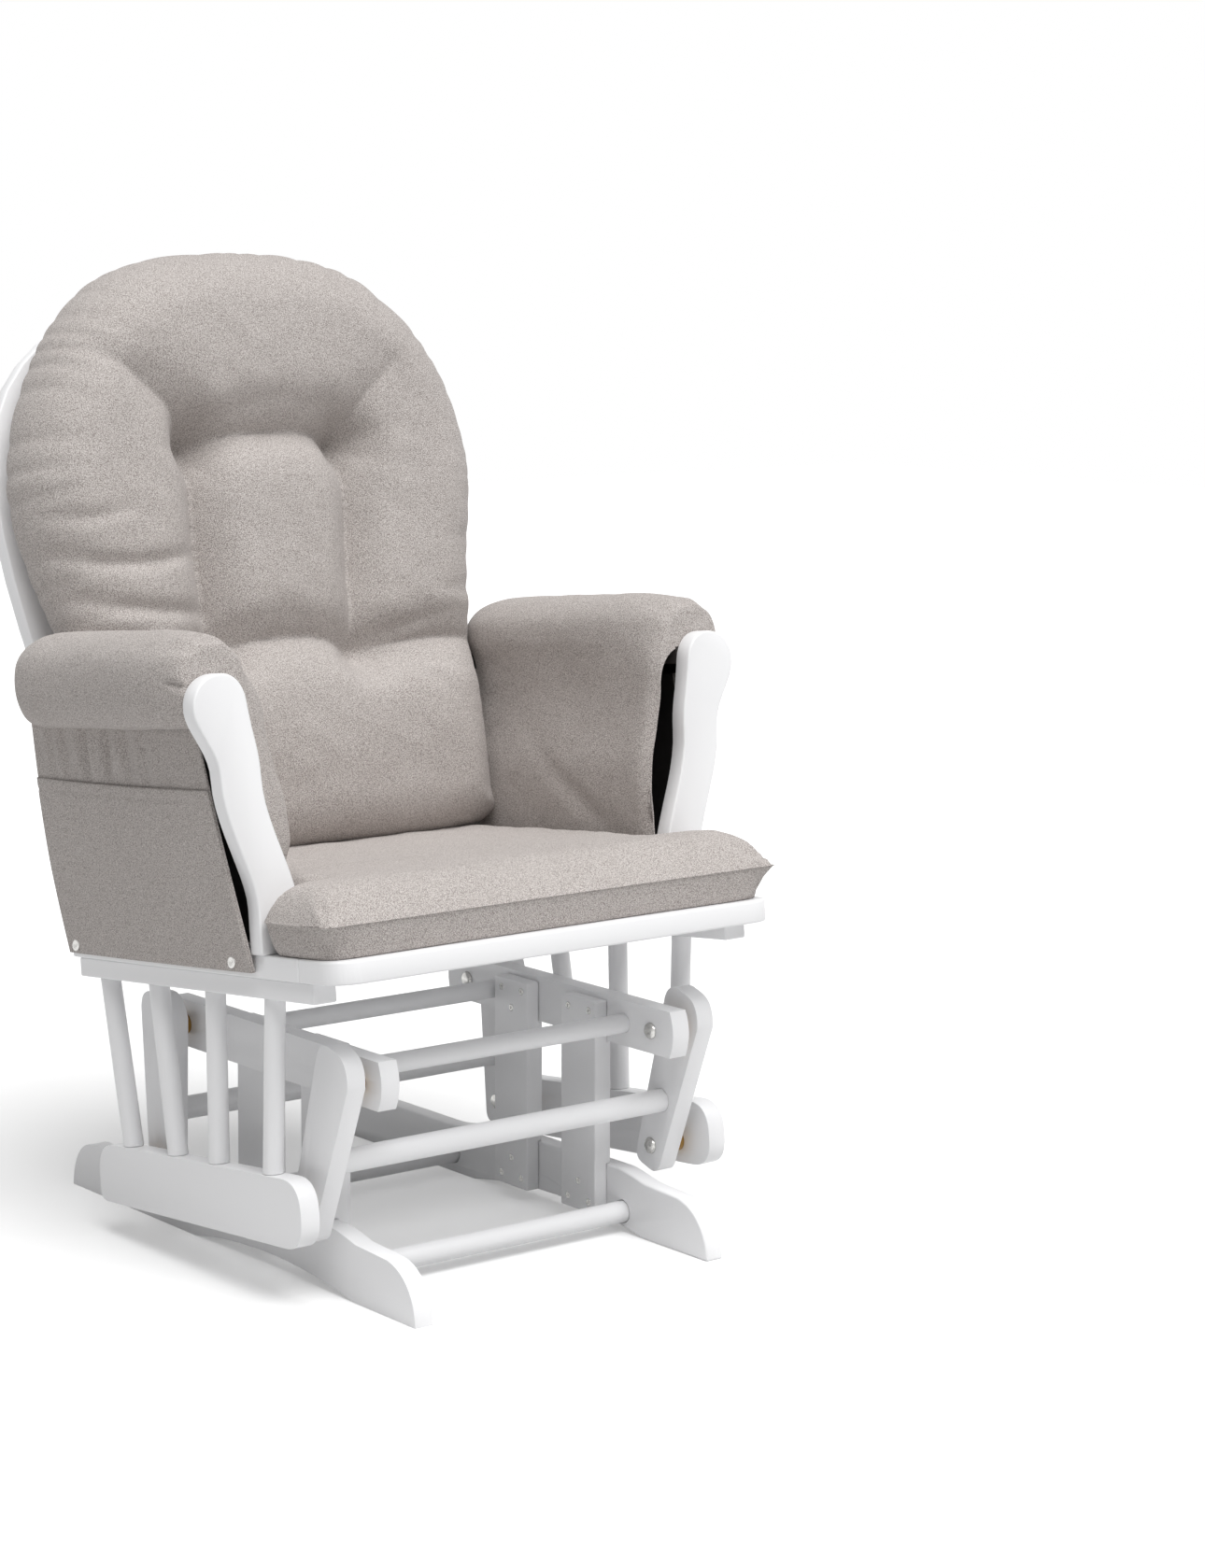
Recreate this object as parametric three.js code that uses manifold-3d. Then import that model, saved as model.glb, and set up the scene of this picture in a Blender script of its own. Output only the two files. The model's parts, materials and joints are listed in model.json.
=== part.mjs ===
// A glider chair: a fixed wooden base, four swinging link boards, and a seat that hangs from them.
// Millimetres, +Z up. The chair faces -Y, and +X is on the right of someone who looks at its front.
// "left" pieces lie at -X and "right" pieces at +X.
import * as THREE from 'three';
import { mergeVertices } from 'three/addons/utils/BufferGeometryUtils.js';
import Module from 'manifold-3d';

const wasm = await Module();
wasm.setup();

// ---- Fits -------------------------------------------------------------------------------------
const joinGap = 0.3;          // between two pieces that are glued, screwed or rest on each other
const runningGap = 0.3;       // around a shank or beside a spacer that turns
const openPivotPlay = 3.2;    // around the front lower bolts, where the loop of links is opened
const socketDepth = 10;       // how far a dowel enters a board

// ---- Base -------------------------------------------------------------------------------------
const railThickness = 21.2;
const railInnerX = 170.8;
const baseFrontY = -250;
const baseRearY = 397;
const baseFrontHeight = 58.6;
const baseMiddleHeight = 66.5;
const baseRearHeight = 52;
const baseNoseLength = 47;
const baseHeelLength = 42;
const baseNoseDrop = 2.6;     // the nose ends this far under the front shoulder
const baseNoseReach = 25;     // how far the nose's curve pulls back
const baseNoseFlare = 2;
const baseNoseLowShare = 0.6;
const baseNoseHighShare = 0.93;
const baseFrontEase = 14;     // the curves that lead into and out of the raised middle
const baseRearEase = 45;
const baseRearFlatten = 40;
const baseRearOverrun = 10;
const baseHeelRound = 15;
const baseMiddleHalfLength = 103;
const baseShoulderLength = 92;
const frontFootLength = 102;
const rearFootLength = 250;
const archHeight = 14;
const baseDowelDiameter = 22.6;
const baseDowelHeight = 21.7;
const frontBaseDowelY = -112.5;
const rearBaseDowelY = 187;

const postThickness = 21.3;
const postInset = 16.6;       // how far the posts' inner faces lie inside the rails
const postWidth = 58.6;
const postSpacing = 117.2;    // between the centre lines of a side's front and rear posts
const postFootHeight = 14.4;
const postTopDrop = 4.9;      // the posts end this far under the pivot rails' tops

const pivotRailLength = 390;
const pivotRailBottom = 198.2;
const pivotRailHeight = 48.3;
const pivotRailNoseLength = 6;
const pivotRailDowelDiameter = 20;
const frontRailDowelY = -114.6;
const rearRailDowelY = 103;

// ---- Links and pivots ------------------------------------------------------------------------
const pivotSpread = 318;
const pivotHeight = 222;
const linkLength = 142;
const frontLinkLean = 18;
const linkThickness = 21;
const linkInnerX = 207.3;
const linkTopWidth = 58;
const linkBottomWidth = 40;
const linkTopReach = 37;
const linkBottomReach = 25;
const linkTopRadius = 20;
const linkTopDrop = 26;
const linkBottomRadius = 14;
const linkDowelDiameter = 24;
const linkDowelDistance = 88;
const boltDiameter = 8;
const boltHeadDiameter = 18;
const boltHeadHeight = 5;
const boltCrownShare = 0.45;  // the flat of the head, as a share of its width
const boltShoulderShare = 0.85;
const boltShoulderRise = 0.6;
const boltEndMargin = 2;
const spacerDiameter = 22;

// ---- Seat frame: s runs rearwards from its front edge and t runs up from its underside ---------
const seatWidth = 545.6;
const seatDepth = 493;
const seatBoardThickness = 22.8;
const seatBoardWidth = 65;
const seatCornerRadius = 30;
const deckThickness = 12;
const deckRecess = 5;
const frontPivotS = 149.7;
const frontPivotT = -237;
const rearPivotS = 418.4;
const rearPivotT = -215.8;

const lowerRailWidth = 27;
const lowerRailHeight = 20;
const lowerRailFrontS = 47.6;
const lowerRailRearInset = 6;
const spindleX = 255.2;
const spindleDiameter = 21;
const spindleTops = [135.6, 243.8, 351.8, 448.2];
const spindleFeet = [158.3, 256.9, 334.9, 422.4];
const skirtThickness = 21.5;
const skirtFrontS = 97.8;
const skirtRearS = 478;
const skirtTopT = -193.5;
const skirtFrontDepth = 67.5;
const skirtRearDepth = 60.5;
const skirtTopRadius = 32;
const skirtBottomRadius = 14;
const skirtFrontRadius = 30;

// ---- Back -------------------------------------------------------------------------------------
const backLean = 8.4;
const hoopThickness = 20;
const hoopWidth = 45;
const hoopFootHalfWidth = 215;
const hoopHalfWidth = 290;
const hoopShoulderPull = 0.65; // how far the crown's curve keeps to the legs and to the top
const hoopCrownPull = 0.58;
const hoopShoulderHeight = 500;
const backCushionShoulderTop = 450;
const hoopHeight = 712;
const backRailHeight = 55;
const backRailBottom = 40;
const slatCount = 5;
const slatWidth = 36;
const slatSpacing = 68;
const slatThickness = 12;

// ---- Arms -------------------------------------------------------------------------------------
const armPostFrontS = 120;
const armPostThickness = 21;
const armPostTop = 297;
const armPostFootOverhang = 4.2;
const armPostFootWidth = 55;
const armPostAnkleT = 67;
const armPostCalfT = 100;
const armPostKneeT = 150;
const armPostWaistT = 195;
const armPostNeckT = 225;
const armPostHeadT = 242;
const armPostHeadRadius = 27;
const armPostWaistReach = 33;
const armPostHeadReach = 60;
const armPostCrownReach = 25;
const armPostAnkleSet = 9;
const armPostWaistSet = 42;
const armPostHeadSet = 52;
const armBoardThickness = 18;
const armBoardWidth = 44;
const armBoardTop = 282;
const armBoardRearOverhang = 5.2;
const armCoverRearInset = 5;
const armCoverSkin = 2.8;
const armRollHalfWidth = 50;
const rollStartAngle = -60;   // the padded roll's section, in degrees from straight out
const rollEndAngle = 215;
const armRollBottom = 244;
const armRollTop = 341;
const armRollFrontOverhang = 26.2;
const armRollRearOverhang = 15.2;
const outerPanelClearance = 3.6;
const outerPanelFootT = 5;
const innerPanelInset = 46.8;
const innerPanelHeight = 130;
const armBoardClearance = 2;

// ---- Cushions ---------------------------------------------------------------------------------
const seatCushionFrontS = 3;
const seatCushionRearInset = 17;
const seatCushionOverhang = 3.2;
const seatCushionArmClearance = 5;
const seatCushionHeight = 64;
const seatCushionCornerRadius = 22;
const backCushionThickness = 117;
const backCushionSeam = 33;
const backCushionEdgeReach = 74;
const backTuftX = 92;
const backUpperTuftHeight = 517;
const backLowerTuftHeight = 298;
const backChannelEndX = 206;
const backChannelEndHeight = 636;
const backChannelWidth = 30;
const backChannelShare = 0.45;
const backPoleHeight = 400;
const backOutlinePoints = 72;
const backRings = 12;
const backCushionHalfWidth = 292;
const backCushionArmClearance = 4;
const backCushionShoulder = 352;
const backCushionTop = 744;

const roundSegments = 24;
const curveSegments = 10;

// ---- Finishes ---------------------------------------------------------------------------------
const whitePaint = () => new THREE.MeshStandardMaterial({ color: 0xf2f2f3, roughness: 0.42, metalness: 0 });
const greyFabric = () => new THREE.MeshStandardMaterial({ color: 0xb5ada8, roughness: 0.92, metalness: 0 });
const darkWood = () => new THREE.MeshStandardMaterial({ color: 0x2b2624, roughness: 0.7, metalness: 0 });
const steel = () => new THREE.MeshStandardMaterial({ color: 0xb9b6ae, roughness: 0.35, metalness: 1 });

// ---- Helpers ----------------------------------------------------------------------------------
const sides = [['left', -1], ['right', 1]];
const radians = THREE.MathUtils.degToRad;
const axisX = new THREE.Vector3(1, 0, 0);
const axisY = new THREE.Vector3(0, 1, 0);
const axisZ = new THREE.Vector3(0, 0, 1);

function addPiece(parent, name, geometry, material) {
  const piece = new THREE.Mesh(geometry, material);
  piece.name = name;
  parent.add(piece);
  return piece;
}

function extrude(shape, depth) {
  return new THREE.ExtrudeGeometry(shape, { depth, bevelEnabled: false, curveSegments, steps: 1 });
}

// An outline in (y, z), made into a board whose inner face lies at innerX on the given side.
function sideBoard(shape, thickness, innerX, side) {
  const board = extrude(shape, thickness);
  board.applyMatrix4(new THREE.Matrix4().makeBasis(axisY, axisZ, axisX));
  board.translate(side > 0 ? innerX : -innerX - thickness, 0, 0);
  return board;
}

// An outline in (x, z), made into a board that runs rearwards from frontY.
function frontBoard(shape, thickness, frontY) {
  const board = extrude(shape, thickness);
  board.applyMatrix4(new THREE.Matrix4().makeBasis(axisX, axisZ, axisY.clone().negate()));
  board.translate(0, frontY + thickness, 0);
  return board;
}

// An outline in (x, y), made into a board that runs up from bottomZ.
function flatBoard(shape, thickness, bottomZ) {
  const board = extrude(shape, thickness);
  board.translate(0, 0, bottomZ);
  return board;
}

function box(minX, maxX, minY, maxY, minZ, maxZ) {
  const block = new THREE.BoxGeometry(maxX - minX, maxY - minY, maxZ - minZ);
  block.translate((minX + maxX) / 2, (minY + maxY) / 2, (minZ + maxZ) / 2);
  return block;
}

// A round bar along X from one x to another, centred on (y, z).
function barAlongX(diameter, fromX, toX, y, z) {
  const bar = new THREE.CylinderGeometry(diameter / 2, diameter / 2, Math.abs(toX - fromX), roundSegments);
  bar.rotateZ(Math.PI / 2);
  bar.translate((fromX + toX) / 2, y, z);
  return bar;
}

function toSolid(geometry) {
  const bare = geometry.index ? geometry.clone() : new THREE.BufferGeometry().copy(geometry);
  bare.deleteAttribute('normal');
  bare.deleteAttribute('uv');
  const merged = mergeVertices(bare);
  const vertProperties = new Float32Array(merged.attributes.position.array);
  const triVerts = new Uint32Array(merged.index.array);
  return new wasm.Manifold(new wasm.Mesh({ numProp: 3, vertProperties, triVerts }));
}

function fromSolid(solid) {
  const mesh = solid.getMesh();
  const geometry = new THREE.BufferGeometry();
  geometry.setAttribute('position', new THREE.BufferAttribute(mesh.vertProperties, 3));
  geometry.setIndex(new THREE.BufferAttribute(mesh.triVerts, 1));
  return geometry;
}

function subtract(geometry, cutters) {
  const start = toSolid(geometry);
  return fromSolid(cutters.reduce((solid, cutter) => solid.subtract(toSolid(cutter)), start));
}

function join(geometries) {
  const [first, ...others] = geometries.map(toSolid);
  return fromSolid(others.reduce((solid, other) => solid.add(other), first));
}

function intersect(first, second) {
  return fromSolid(toSolid(first).intersect(toSolid(second)));
}

// A blind socket for a dowel's end, in the inner face of a board on the given side.
function dowelSocket(diameter, faceX, side, y, z) {
  return barAlongX(diameter + 2 * joinGap, side * (faceX - 1), side * (faceX + socketDepth), y, z);
}

// A hole through a board, for a bolt along X.
function boltHole(radius, innerX, depth, side, y, z) {
  return barAlongX(2 * radius, side * (innerX - 1), side * (innerX + depth), y, z);
}

// A solid of revolution about X, from (x, radius) pairs that start and end on the axis.
function turnedAlongX(profile, side, y, z) {
  const points = profile.map(([x, radius]) => new THREE.Vector2(radius, x));
  const turned = new THREE.LatheGeometry(points, roundSegments);
  turned.rotateZ(-Math.PI / 2);
  if (side < 0) {
    turned.rotateY(Math.PI);
  }
  turned.translate(0, y, z);
  return turned;
}

// A closed skin through rings of equal count. Its caps are cut in (x, z), or fan out from a middle point.
function loft(rings, fanned = false) {
  const count = rings[0].length;
  const positions = rings.flat().flatMap((point) => [point.x, point.y, point.z]);
  const faces = [];
  for (let ring = 0; ring < rings.length - 1; ring += 1) {
    for (let corner = 0; corner < count; corner += 1) {
      const next = (corner + 1) % count;
      const a = ring * count + corner;
      const b = ring * count + next;
      faces.push(a, a + count, b, b, a + count, b + count);
    }
  }
  const lastRing = (rings.length - 1) * count;
  if (fanned) {
    const firstCentre = rings.length * count;
    for (const ring of [rings[0], rings.at(-1)]) {
      const sum = ring.reduce((total, point) => total.add(point), new THREE.Vector3());
      positions.push(...sum.divideScalar(count).toArray());
    }
    for (let corner = 0; corner < count; corner += 1) {
      const next = (corner + 1) % count;
      faces.push(corner, next, firstCentre);
      faces.push(lastRing + next, lastRing + corner, firstCentre + 1);
    }
  } else {
    const outline = rings[0].map((point) => new THREE.Vector2(point.x, point.z));
    const outlineArea = THREE.ShapeUtils.area(outline);
    for (const triangle of THREE.ShapeUtils.triangulateShape(outline, [])) {
      const triangleArea = THREE.ShapeUtils.area(triangle.map((corner) => outline[corner]));
      const [a, b, c] = triangleArea * outlineArea > 0 ? triangle : triangle.toReversed();
      faces.push(a, b, c);
      faces.push(lastRing + c, lastRing + b, lastRing + a);
    }
  }
  if (signedVolume(positions, faces) < 0) {
    faces.reverse();
  }
  const geometry = new THREE.BufferGeometry();
  geometry.setAttribute('position', new THREE.Float32BufferAttribute(positions, 3));
  geometry.setIndex(faces);
  return geometry;
}

function signedVolume(positions, faces) {
  let total = 0;
  for (let face = 0; face < faces.length; face += 3) {
    const [a, b, c] = [0, 1, 2].map((corner) =>
      new THREE.Vector3().fromArray(positions, 3 * faces[face + corner]));
    total += a.dot(b.cross(c));
  }
  return total;
}

// ---- Base: rails, posts and dowels --------------------------------------------------------------
const chair = new THREE.Group();
const base = new THREE.Group();
chair.add(base);

function baseRailShape() {
  const shape = new THREE.Shape();
  const frontShoulderY = -baseMiddleHalfLength - baseShoulderLength / 2;
  const rearShoulderY = baseMiddleHalfLength + baseShoulderLength;
  const noseY = baseFrontY + baseNoseLength;
  const noseHeight = baseFrontHeight - baseNoseDrop;
  shape.moveTo(baseFrontY, 0);
  shape.bezierCurveTo(baseFrontY + baseNoseFlare, baseNoseLowShare * noseHeight,
    noseY - baseNoseReach, baseNoseHighShare * noseHeight, noseY, noseHeight);
  shape.lineTo(frontShoulderY, baseFrontHeight);
  shape.quadraticCurveTo(-baseMiddleHalfLength - baseFrontEase, baseMiddleHeight,
    -baseMiddleHalfLength, baseMiddleHeight);
  shape.lineTo(baseMiddleHalfLength, baseMiddleHeight);
  shape.bezierCurveTo(baseMiddleHalfLength + baseRearEase, baseMiddleHeight,
    rearShoulderY - baseRearFlatten, baseRearHeight, rearShoulderY + baseRearOverrun, baseRearHeight);
  shape.lineTo(baseRearY - baseHeelLength, baseRearHeight);
  shape.bezierCurveTo(baseRearY - baseHeelRound, baseRearHeight, baseRearY, baseRearHeight / 2, baseRearY, 0);
  shape.lineTo(baseRearY - rearFootLength, 0);
  const archMiddleY = (baseRearY - rearFootLength + baseFrontY + frontFootLength) / 2;
  shape.quadraticCurveTo(archMiddleY, 2 * archHeight, baseFrontY + frontFootLength, 0);
  return shape;
}

for (const [sideName, side] of sides) {
  const rail = sideBoard(baseRailShape(), railThickness, railInnerX, side);
  const sockets = [frontBaseDowelY, rearBaseDowelY].map((y) => dowelSocket(
    baseDowelDiameter, railInnerX, side, y, baseDowelHeight));
  addPiece(base, `base_rail_${sideName}`, subtract(rail, sockets), whitePaint());
}

const baseDowelReach = railInnerX + socketDepth - joinGap;
for (const [place, y] of [['front', frontBaseDowelY], ['rear', rearBaseDowelY]]) {
  const dowel = barAlongX(baseDowelDiameter, -baseDowelReach, baseDowelReach, y, baseDowelHeight);
  addPiece(base, `base_dowel_${place}`, dowel, whitePaint());
}

// Each post stands between the rails and laps the inner faces of both, so it is thinner there.
function postShape(side) {
  const innerX = railInnerX - postInset;
  const lapX = railInnerX - joinGap;
  const outerX = innerX + postThickness;
  const shape = new THREE.Shape();
  const shoulderLow = baseMiddleHeight + joinGap;
  const shoulderHigh = pivotRailBottom - joinGap;
  const top = pivotRailBottom + pivotRailHeight - postTopDrop;
  shape.moveTo(side * innerX, postFootHeight);
  shape.lineTo(side * lapX, postFootHeight);
  shape.lineTo(side * lapX, shoulderLow);
  shape.lineTo(side * outerX, shoulderLow);
  shape.lineTo(side * outerX, shoulderHigh);
  shape.lineTo(side * lapX, shoulderHigh);
  shape.lineTo(side * lapX, top);
  shape.lineTo(side * innerX, top);
  return shape;
}

for (const [sideName, side] of sides) {
  for (const [place, sign] of [['front', -1], ['rear', 1]]) {
    const frontY = (sign * postSpacing - postWidth) / 2;
    const post = frontBoard(postShape(side), postWidth, frontY);
    addPiece(base, `post_${place}_${sideName}`, post, whitePaint());
  }
}

function pivotRailShape() {
  const end = pivotRailLength / 2;
  const top = pivotRailBottom + pivotRailHeight;
  const middle = (pivotRailBottom + top) / 2;
  const noseStart = end - pivotRailNoseLength;
  const shape = new THREE.Shape();
  shape.moveTo(-noseStart, pivotRailBottom);
  shape.lineTo(noseStart, pivotRailBottom);
  shape.quadraticCurveTo(end + pivotRailNoseLength, middle, noseStart, top);
  shape.lineTo(-noseStart, top);
  shape.quadraticCurveTo(-end - pivotRailNoseLength, middle, -noseStart, pivotRailBottom);
  return shape;
}

const boltRadius = boltDiameter / 2;
for (const [sideName, side] of sides) {
  const rail = sideBoard(pivotRailShape(), railThickness, railInnerX, side);
  const cutters = [frontRailDowelY, rearRailDowelY].map((y) => dowelSocket(
    pivotRailDowelDiameter, railInnerX, side, y, pivotHeight));
  for (const y of [-pivotSpread / 2, pivotSpread / 2]) {
    cutters.push(boltHole(boltRadius + joinGap, railInnerX, 2 * railThickness, side, y, pivotHeight));
  }
  addPiece(base, `pivot_rail_${sideName}`, subtract(rail, cutters), whitePaint());
}

for (const [place, y] of [['front', frontRailDowelY], ['rear', rearRailDowelY]]) {
  const dowel = barAlongX(pivotRailDowelDiameter, -baseDowelReach, baseDowelReach, y, pivotHeight);
  addPiece(base, `rail_dowel_${place}`, dowel, whitePaint());
}

// A pivot bolt: a domed head, a shank, a spacer between two boards, and an end inside the second one.
function pivotBolt(headX, firstBoardOuterX, secondBoardInnerX, endX, side, y, z) {
  const profile = [
    [headX - boltHeadHeight, 0],
    [headX - boltHeadHeight, boltCrownShare * boltHeadDiameter / 2],
    [headX - boltShoulderRise * boltHeadHeight, boltShoulderShare * boltHeadDiameter / 2],
    [headX - joinGap, boltHeadDiameter / 2],
    [headX - joinGap, boltRadius],
    [firstBoardOuterX + runningGap, boltRadius],
    [firstBoardOuterX + runningGap, spacerDiameter / 2],
    [secondBoardInnerX - runningGap, spacerDiameter / 2],
    [secondBoardInnerX - runningGap, boltRadius],
    [endX, boltRadius],
    [endX, 0],
  ];
  return turnedAlongX(profile, side, y, z);
}

const railOuterX = railInnerX + railThickness;
const linkOuterX = linkInnerX + linkThickness;
for (const [sideName, side] of sides) {
  for (const [place, sign] of [['front', -1], ['rear', 1]]) {
    const y = sign * pivotSpread / 2;
    const bolt = pivotBolt(railInnerX, railOuterX, linkInnerX, linkOuterX - boltEndMargin, side,
      y, pivotHeight);
    addPiece(base, `upper_bolt_${place}_${sideName}`, bolt, steel());
  }
}

// ---- Where the four-bar linkage comes to rest -----------------------------------------------------
// The front links' lean is given. The rear links' lean and the seat's tilt follow from the four bars.
const frontUpper = new THREE.Vector2(-pivotSpread / 2, pivotHeight);
const rearUpper = new THREE.Vector2(pivotSpread / 2, pivotHeight);
const lean = radians(frontLinkLean);
const frontLower = new THREE.Vector2(Math.sin(lean), -Math.cos(lean)).multiplyScalar(linkLength)
  .add(frontUpper);
const seatFrontPivot = new THREE.Vector2(frontPivotS, frontPivotT);
const seatRearPivot = new THREE.Vector2(rearPivotS, rearPivotT);
const seatBar = seatRearPivot.clone().sub(seatFrontPivot);
const diagonal = rearUpper.clone().sub(frontLower);
const diagonalLength = diagonal.length();
const alongDiagonal = (seatBar.lengthSq() - linkLength ** 2 + diagonalLength ** 2) / (2 * diagonalLength);
const acrossDiagonal = Math.sqrt(seatBar.lengthSq() - alongDiagonal ** 2);
const diagonalDirection = diagonal.clone().normalize();
const rearLower = frontLower.clone()
  .addScaledVector(diagonalDirection, alongDiagonal)
  .addScaledVector(new THREE.Vector2(diagonalDirection.y, -diagonalDirection.x), acrossDiagonal);
const rearLinkAngle = Math.atan2(rearLower.x - rearUpper.x, rearUpper.y - rearLower.y);
const seatAngle = rearLower.clone().sub(frontLower).angle() - seatBar.angle();

// ---- Links: a board on each side, joined by a dowel ------------------------------------------------
// In a link's own group the upper pivot is the origin and the board hangs straight down.
function linkShape() {
  const topZ = linkTopReach;
  const bottomZ = -linkLength - linkBottomReach;
  const halfTop = linkTopWidth / 2;
  const halfBottom = linkBottomWidth / 2;
  const shape = new THREE.Shape();
  shape.moveTo(-halfTop, topZ - linkTopDrop);
  shape.quadraticCurveTo(-halfTop + linkTopRadius / 3, topZ, -halfTop + linkTopRadius + linkTopDrop / 3,
    topZ);
  shape.lineTo(halfTop - linkTopRadius, topZ);
  shape.quadraticCurveTo(halfTop, topZ, halfTop, topZ - linkTopRadius);
  shape.lineTo(halfBottom, bottomZ + linkBottomRadius);
  shape.quadraticCurveTo(halfBottom, bottomZ, halfBottom - linkBottomRadius, bottomZ);
  shape.lineTo(-halfBottom + linkBottomRadius, bottomZ);
  shape.quadraticCurveTo(-halfBottom, bottomZ, -halfBottom, bottomZ + linkBottomRadius);
  return shape;
}

const skirtInnerX = spindleX - skirtThickness / 2;
const skirtOuterX = skirtInnerX + skirtThickness;
const linkDowelReach = linkInnerX + socketDepth - joinGap;
for (const [place, upper, angle] of [['front', frontUpper, lean], ['rear', rearUpper, rearLinkAngle]]) {
  const link = new THREE.Group();
  link.position.set(0, upper.x, upper.y);
  link.rotation.x = angle;
  chair.add(link);
  for (const [sideName, side] of sides) {
    const board = sideBoard(linkShape(), linkThickness, linkInnerX, side);
    const cutters = [
      boltHole(boltRadius + runningGap, linkInnerX, linkThickness - boltEndMargin / 2, side, 0, 0),
      boltHole(boltRadius + joinGap, linkInnerX, 2 * linkThickness, side, 0, -linkLength),
      dowelSocket(linkDowelDiameter, linkInnerX, side, 0, -linkDowelDistance),
    ];
    addPiece(link, `link_${place}_${sideName}`, subtract(board, cutters), whitePaint());
    const bolt = pivotBolt(linkInnerX, linkOuterX, skirtInnerX, skirtOuterX - boltEndMargin, side,
      0, -linkLength);
    addPiece(link, `lower_bolt_${place}_${sideName}`, bolt, steel());
  }
  const dowel = barAlongX(linkDowelDiameter, -linkDowelReach, linkDowelReach, 0, -linkDowelDistance);
  addPiece(link, `link_dowel_${place}`, dowel, whitePaint());
}

// ---- Seat: everything that hangs from the links -----------------------------------------------------
const seat = new THREE.Group();
seat.rotation.x = seatAngle;
const turnedFrontPivot = seatFrontPivot.clone().rotateAround(new THREE.Vector2(), seatAngle);
seat.position.set(0, frontLower.x - turnedFrontPivot.x, frontLower.y - turnedFrontPivot.y);
chair.add(seat);

function skirtShape() {
  const frontBottom = skirtTopT - skirtFrontDepth;
  const rearBottom = skirtTopT - skirtRearDepth;
  const shape = new THREE.Shape();
  shape.moveTo(skirtFrontS, skirtTopT - skirtTopRadius);
  shape.quadraticCurveTo(skirtFrontS, skirtTopT, skirtFrontS + skirtTopRadius, skirtTopT);
  shape.lineTo(skirtRearS - skirtTopRadius, skirtTopT);
  shape.quadraticCurveTo(skirtRearS, skirtTopT, skirtRearS, skirtTopT - skirtTopRadius);
  shape.lineTo(skirtRearS, rearBottom + skirtBottomRadius);
  shape.quadraticCurveTo(skirtRearS, rearBottom, skirtRearS - skirtBottomRadius, rearBottom);
  shape.lineTo(skirtFrontS + skirtFrontRadius, frontBottom);
  shape.quadraticCurveTo(skirtFrontS, frontBottom, skirtFrontS, frontBottom + skirtFrontRadius);
  return shape;
}

// A spindle leans along its rail, and its flat ends stay parallel to the rails that it joins.
function spindle(footS, topS, footT, topT, x) {
  const radius = spindleDiameter / 2;
  const height = topT - footT;
  const bar = new THREE.CylinderGeometry(radius, radius, height, roundSegments);
  bar.rotateX(Math.PI / 2);
  bar.applyMatrix4(new THREE.Matrix4().makeShear(0, 0, 0, 0, 0, (topS - footS) / height));
  bar.translate(x, (footS + topS) / 2, (footT + topT) / 2);
  return bar;
}

for (const [sideName, side] of sides) {
  const skirt = sideBoard(skirtShape(), skirtThickness, skirtInnerX, side);
  const pivotHoleDepth = skirtThickness - boltEndMargin / 2;
  const pivotHoles = [
    boltHole(boltRadius + openPivotPlay, skirtInnerX, pivotHoleDepth, side, frontPivotS, frontPivotT),
    boltHole(boltRadius + runningGap, skirtInnerX, pivotHoleDepth, side, rearPivotS, rearPivotT),
  ];
  addPiece(seat, `skirt_rail_${sideName}`, subtract(skirt, pivotHoles), whitePaint());

  const railMinX = side * spindleX - lowerRailWidth / 2;
  const lowerRail = box(railMinX, railMinX + lowerRailWidth, lowerRailFrontS,
    seatDepth - lowerRailRearInset,
    -lowerRailHeight - joinGap, -joinGap);
  addPiece(seat, `lower_rail_${sideName}`, lowerRail, whitePaint());

  spindleTops.forEach((topS, index) => {
    const bar = spindle(spindleFeet[index], topS, skirtTopT + joinGap, -lowerRailHeight - 2 * joinGap,
      side * spindleX);
    addPiece(seat, `spindle_${index + 1}_${sideName}`, bar, whitePaint());
  });
}

// The seat frame: a front board with rounded corners, two side boards, a rear board and a deck.
const seatHalfWidth = seatWidth / 2;
const sideBoardInnerX = seatHalfWidth - seatBoardWidth;

function frontSeatBoardShape() {
  const shape = new THREE.Shape();
  shape.moveTo(-seatHalfWidth, seatBoardWidth);
  shape.lineTo(-seatHalfWidth, seatCornerRadius);
  const cornerX = seatHalfWidth - seatCornerRadius;
  shape.absarc(-cornerX, seatCornerRadius, seatCornerRadius, Math.PI, 1.5 * Math.PI);
  shape.absarc(cornerX, seatCornerRadius, seatCornerRadius, 1.5 * Math.PI, 2 * Math.PI);
  shape.lineTo(seatHalfWidth, seatBoardWidth);
  return shape;
}

addPiece(seat, 'seat_front_board', flatBoard(frontSeatBoardShape(), seatBoardThickness, 0), whitePaint());
for (const [sideName, side] of sides) {
  const minX = side > 0 ? sideBoardInnerX : -seatHalfWidth;
  const board = box(minX, minX + seatBoardWidth, seatBoardWidth + joinGap, seatDepth, 0, seatBoardThickness);
  addPiece(seat, `seat_side_board_${sideName}`, board, whitePaint());
}
const innerFitX = sideBoardInnerX - joinGap;
const rearBoardFrontS = seatDepth - seatBoardWidth;
const rearBoard = box(-innerFitX, innerFitX, rearBoardFrontS, seatDepth, 0, seatBoardThickness);
addPiece(seat, 'seat_rear_board', rearBoard,
  whitePaint());
addPiece(seat, 'seat_deck', box(-innerFitX, innerFitX, seatBoardWidth + joinGap, rearBoardFrontS - joinGap,
  deckRecess, deckRecess + deckThickness), whitePaint());

// ---- Back: a bent hoop, with a grille of slats that carries the cushion ------------------------------
// In the back's own group y runs rearwards from the hoop's front face and z runs up its plane.
const back = new THREE.Group();
back.position.set(0, seatDepth + joinGap, 0);
back.rotation.x = -radians(backLean);
seat.add(back);

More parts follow.
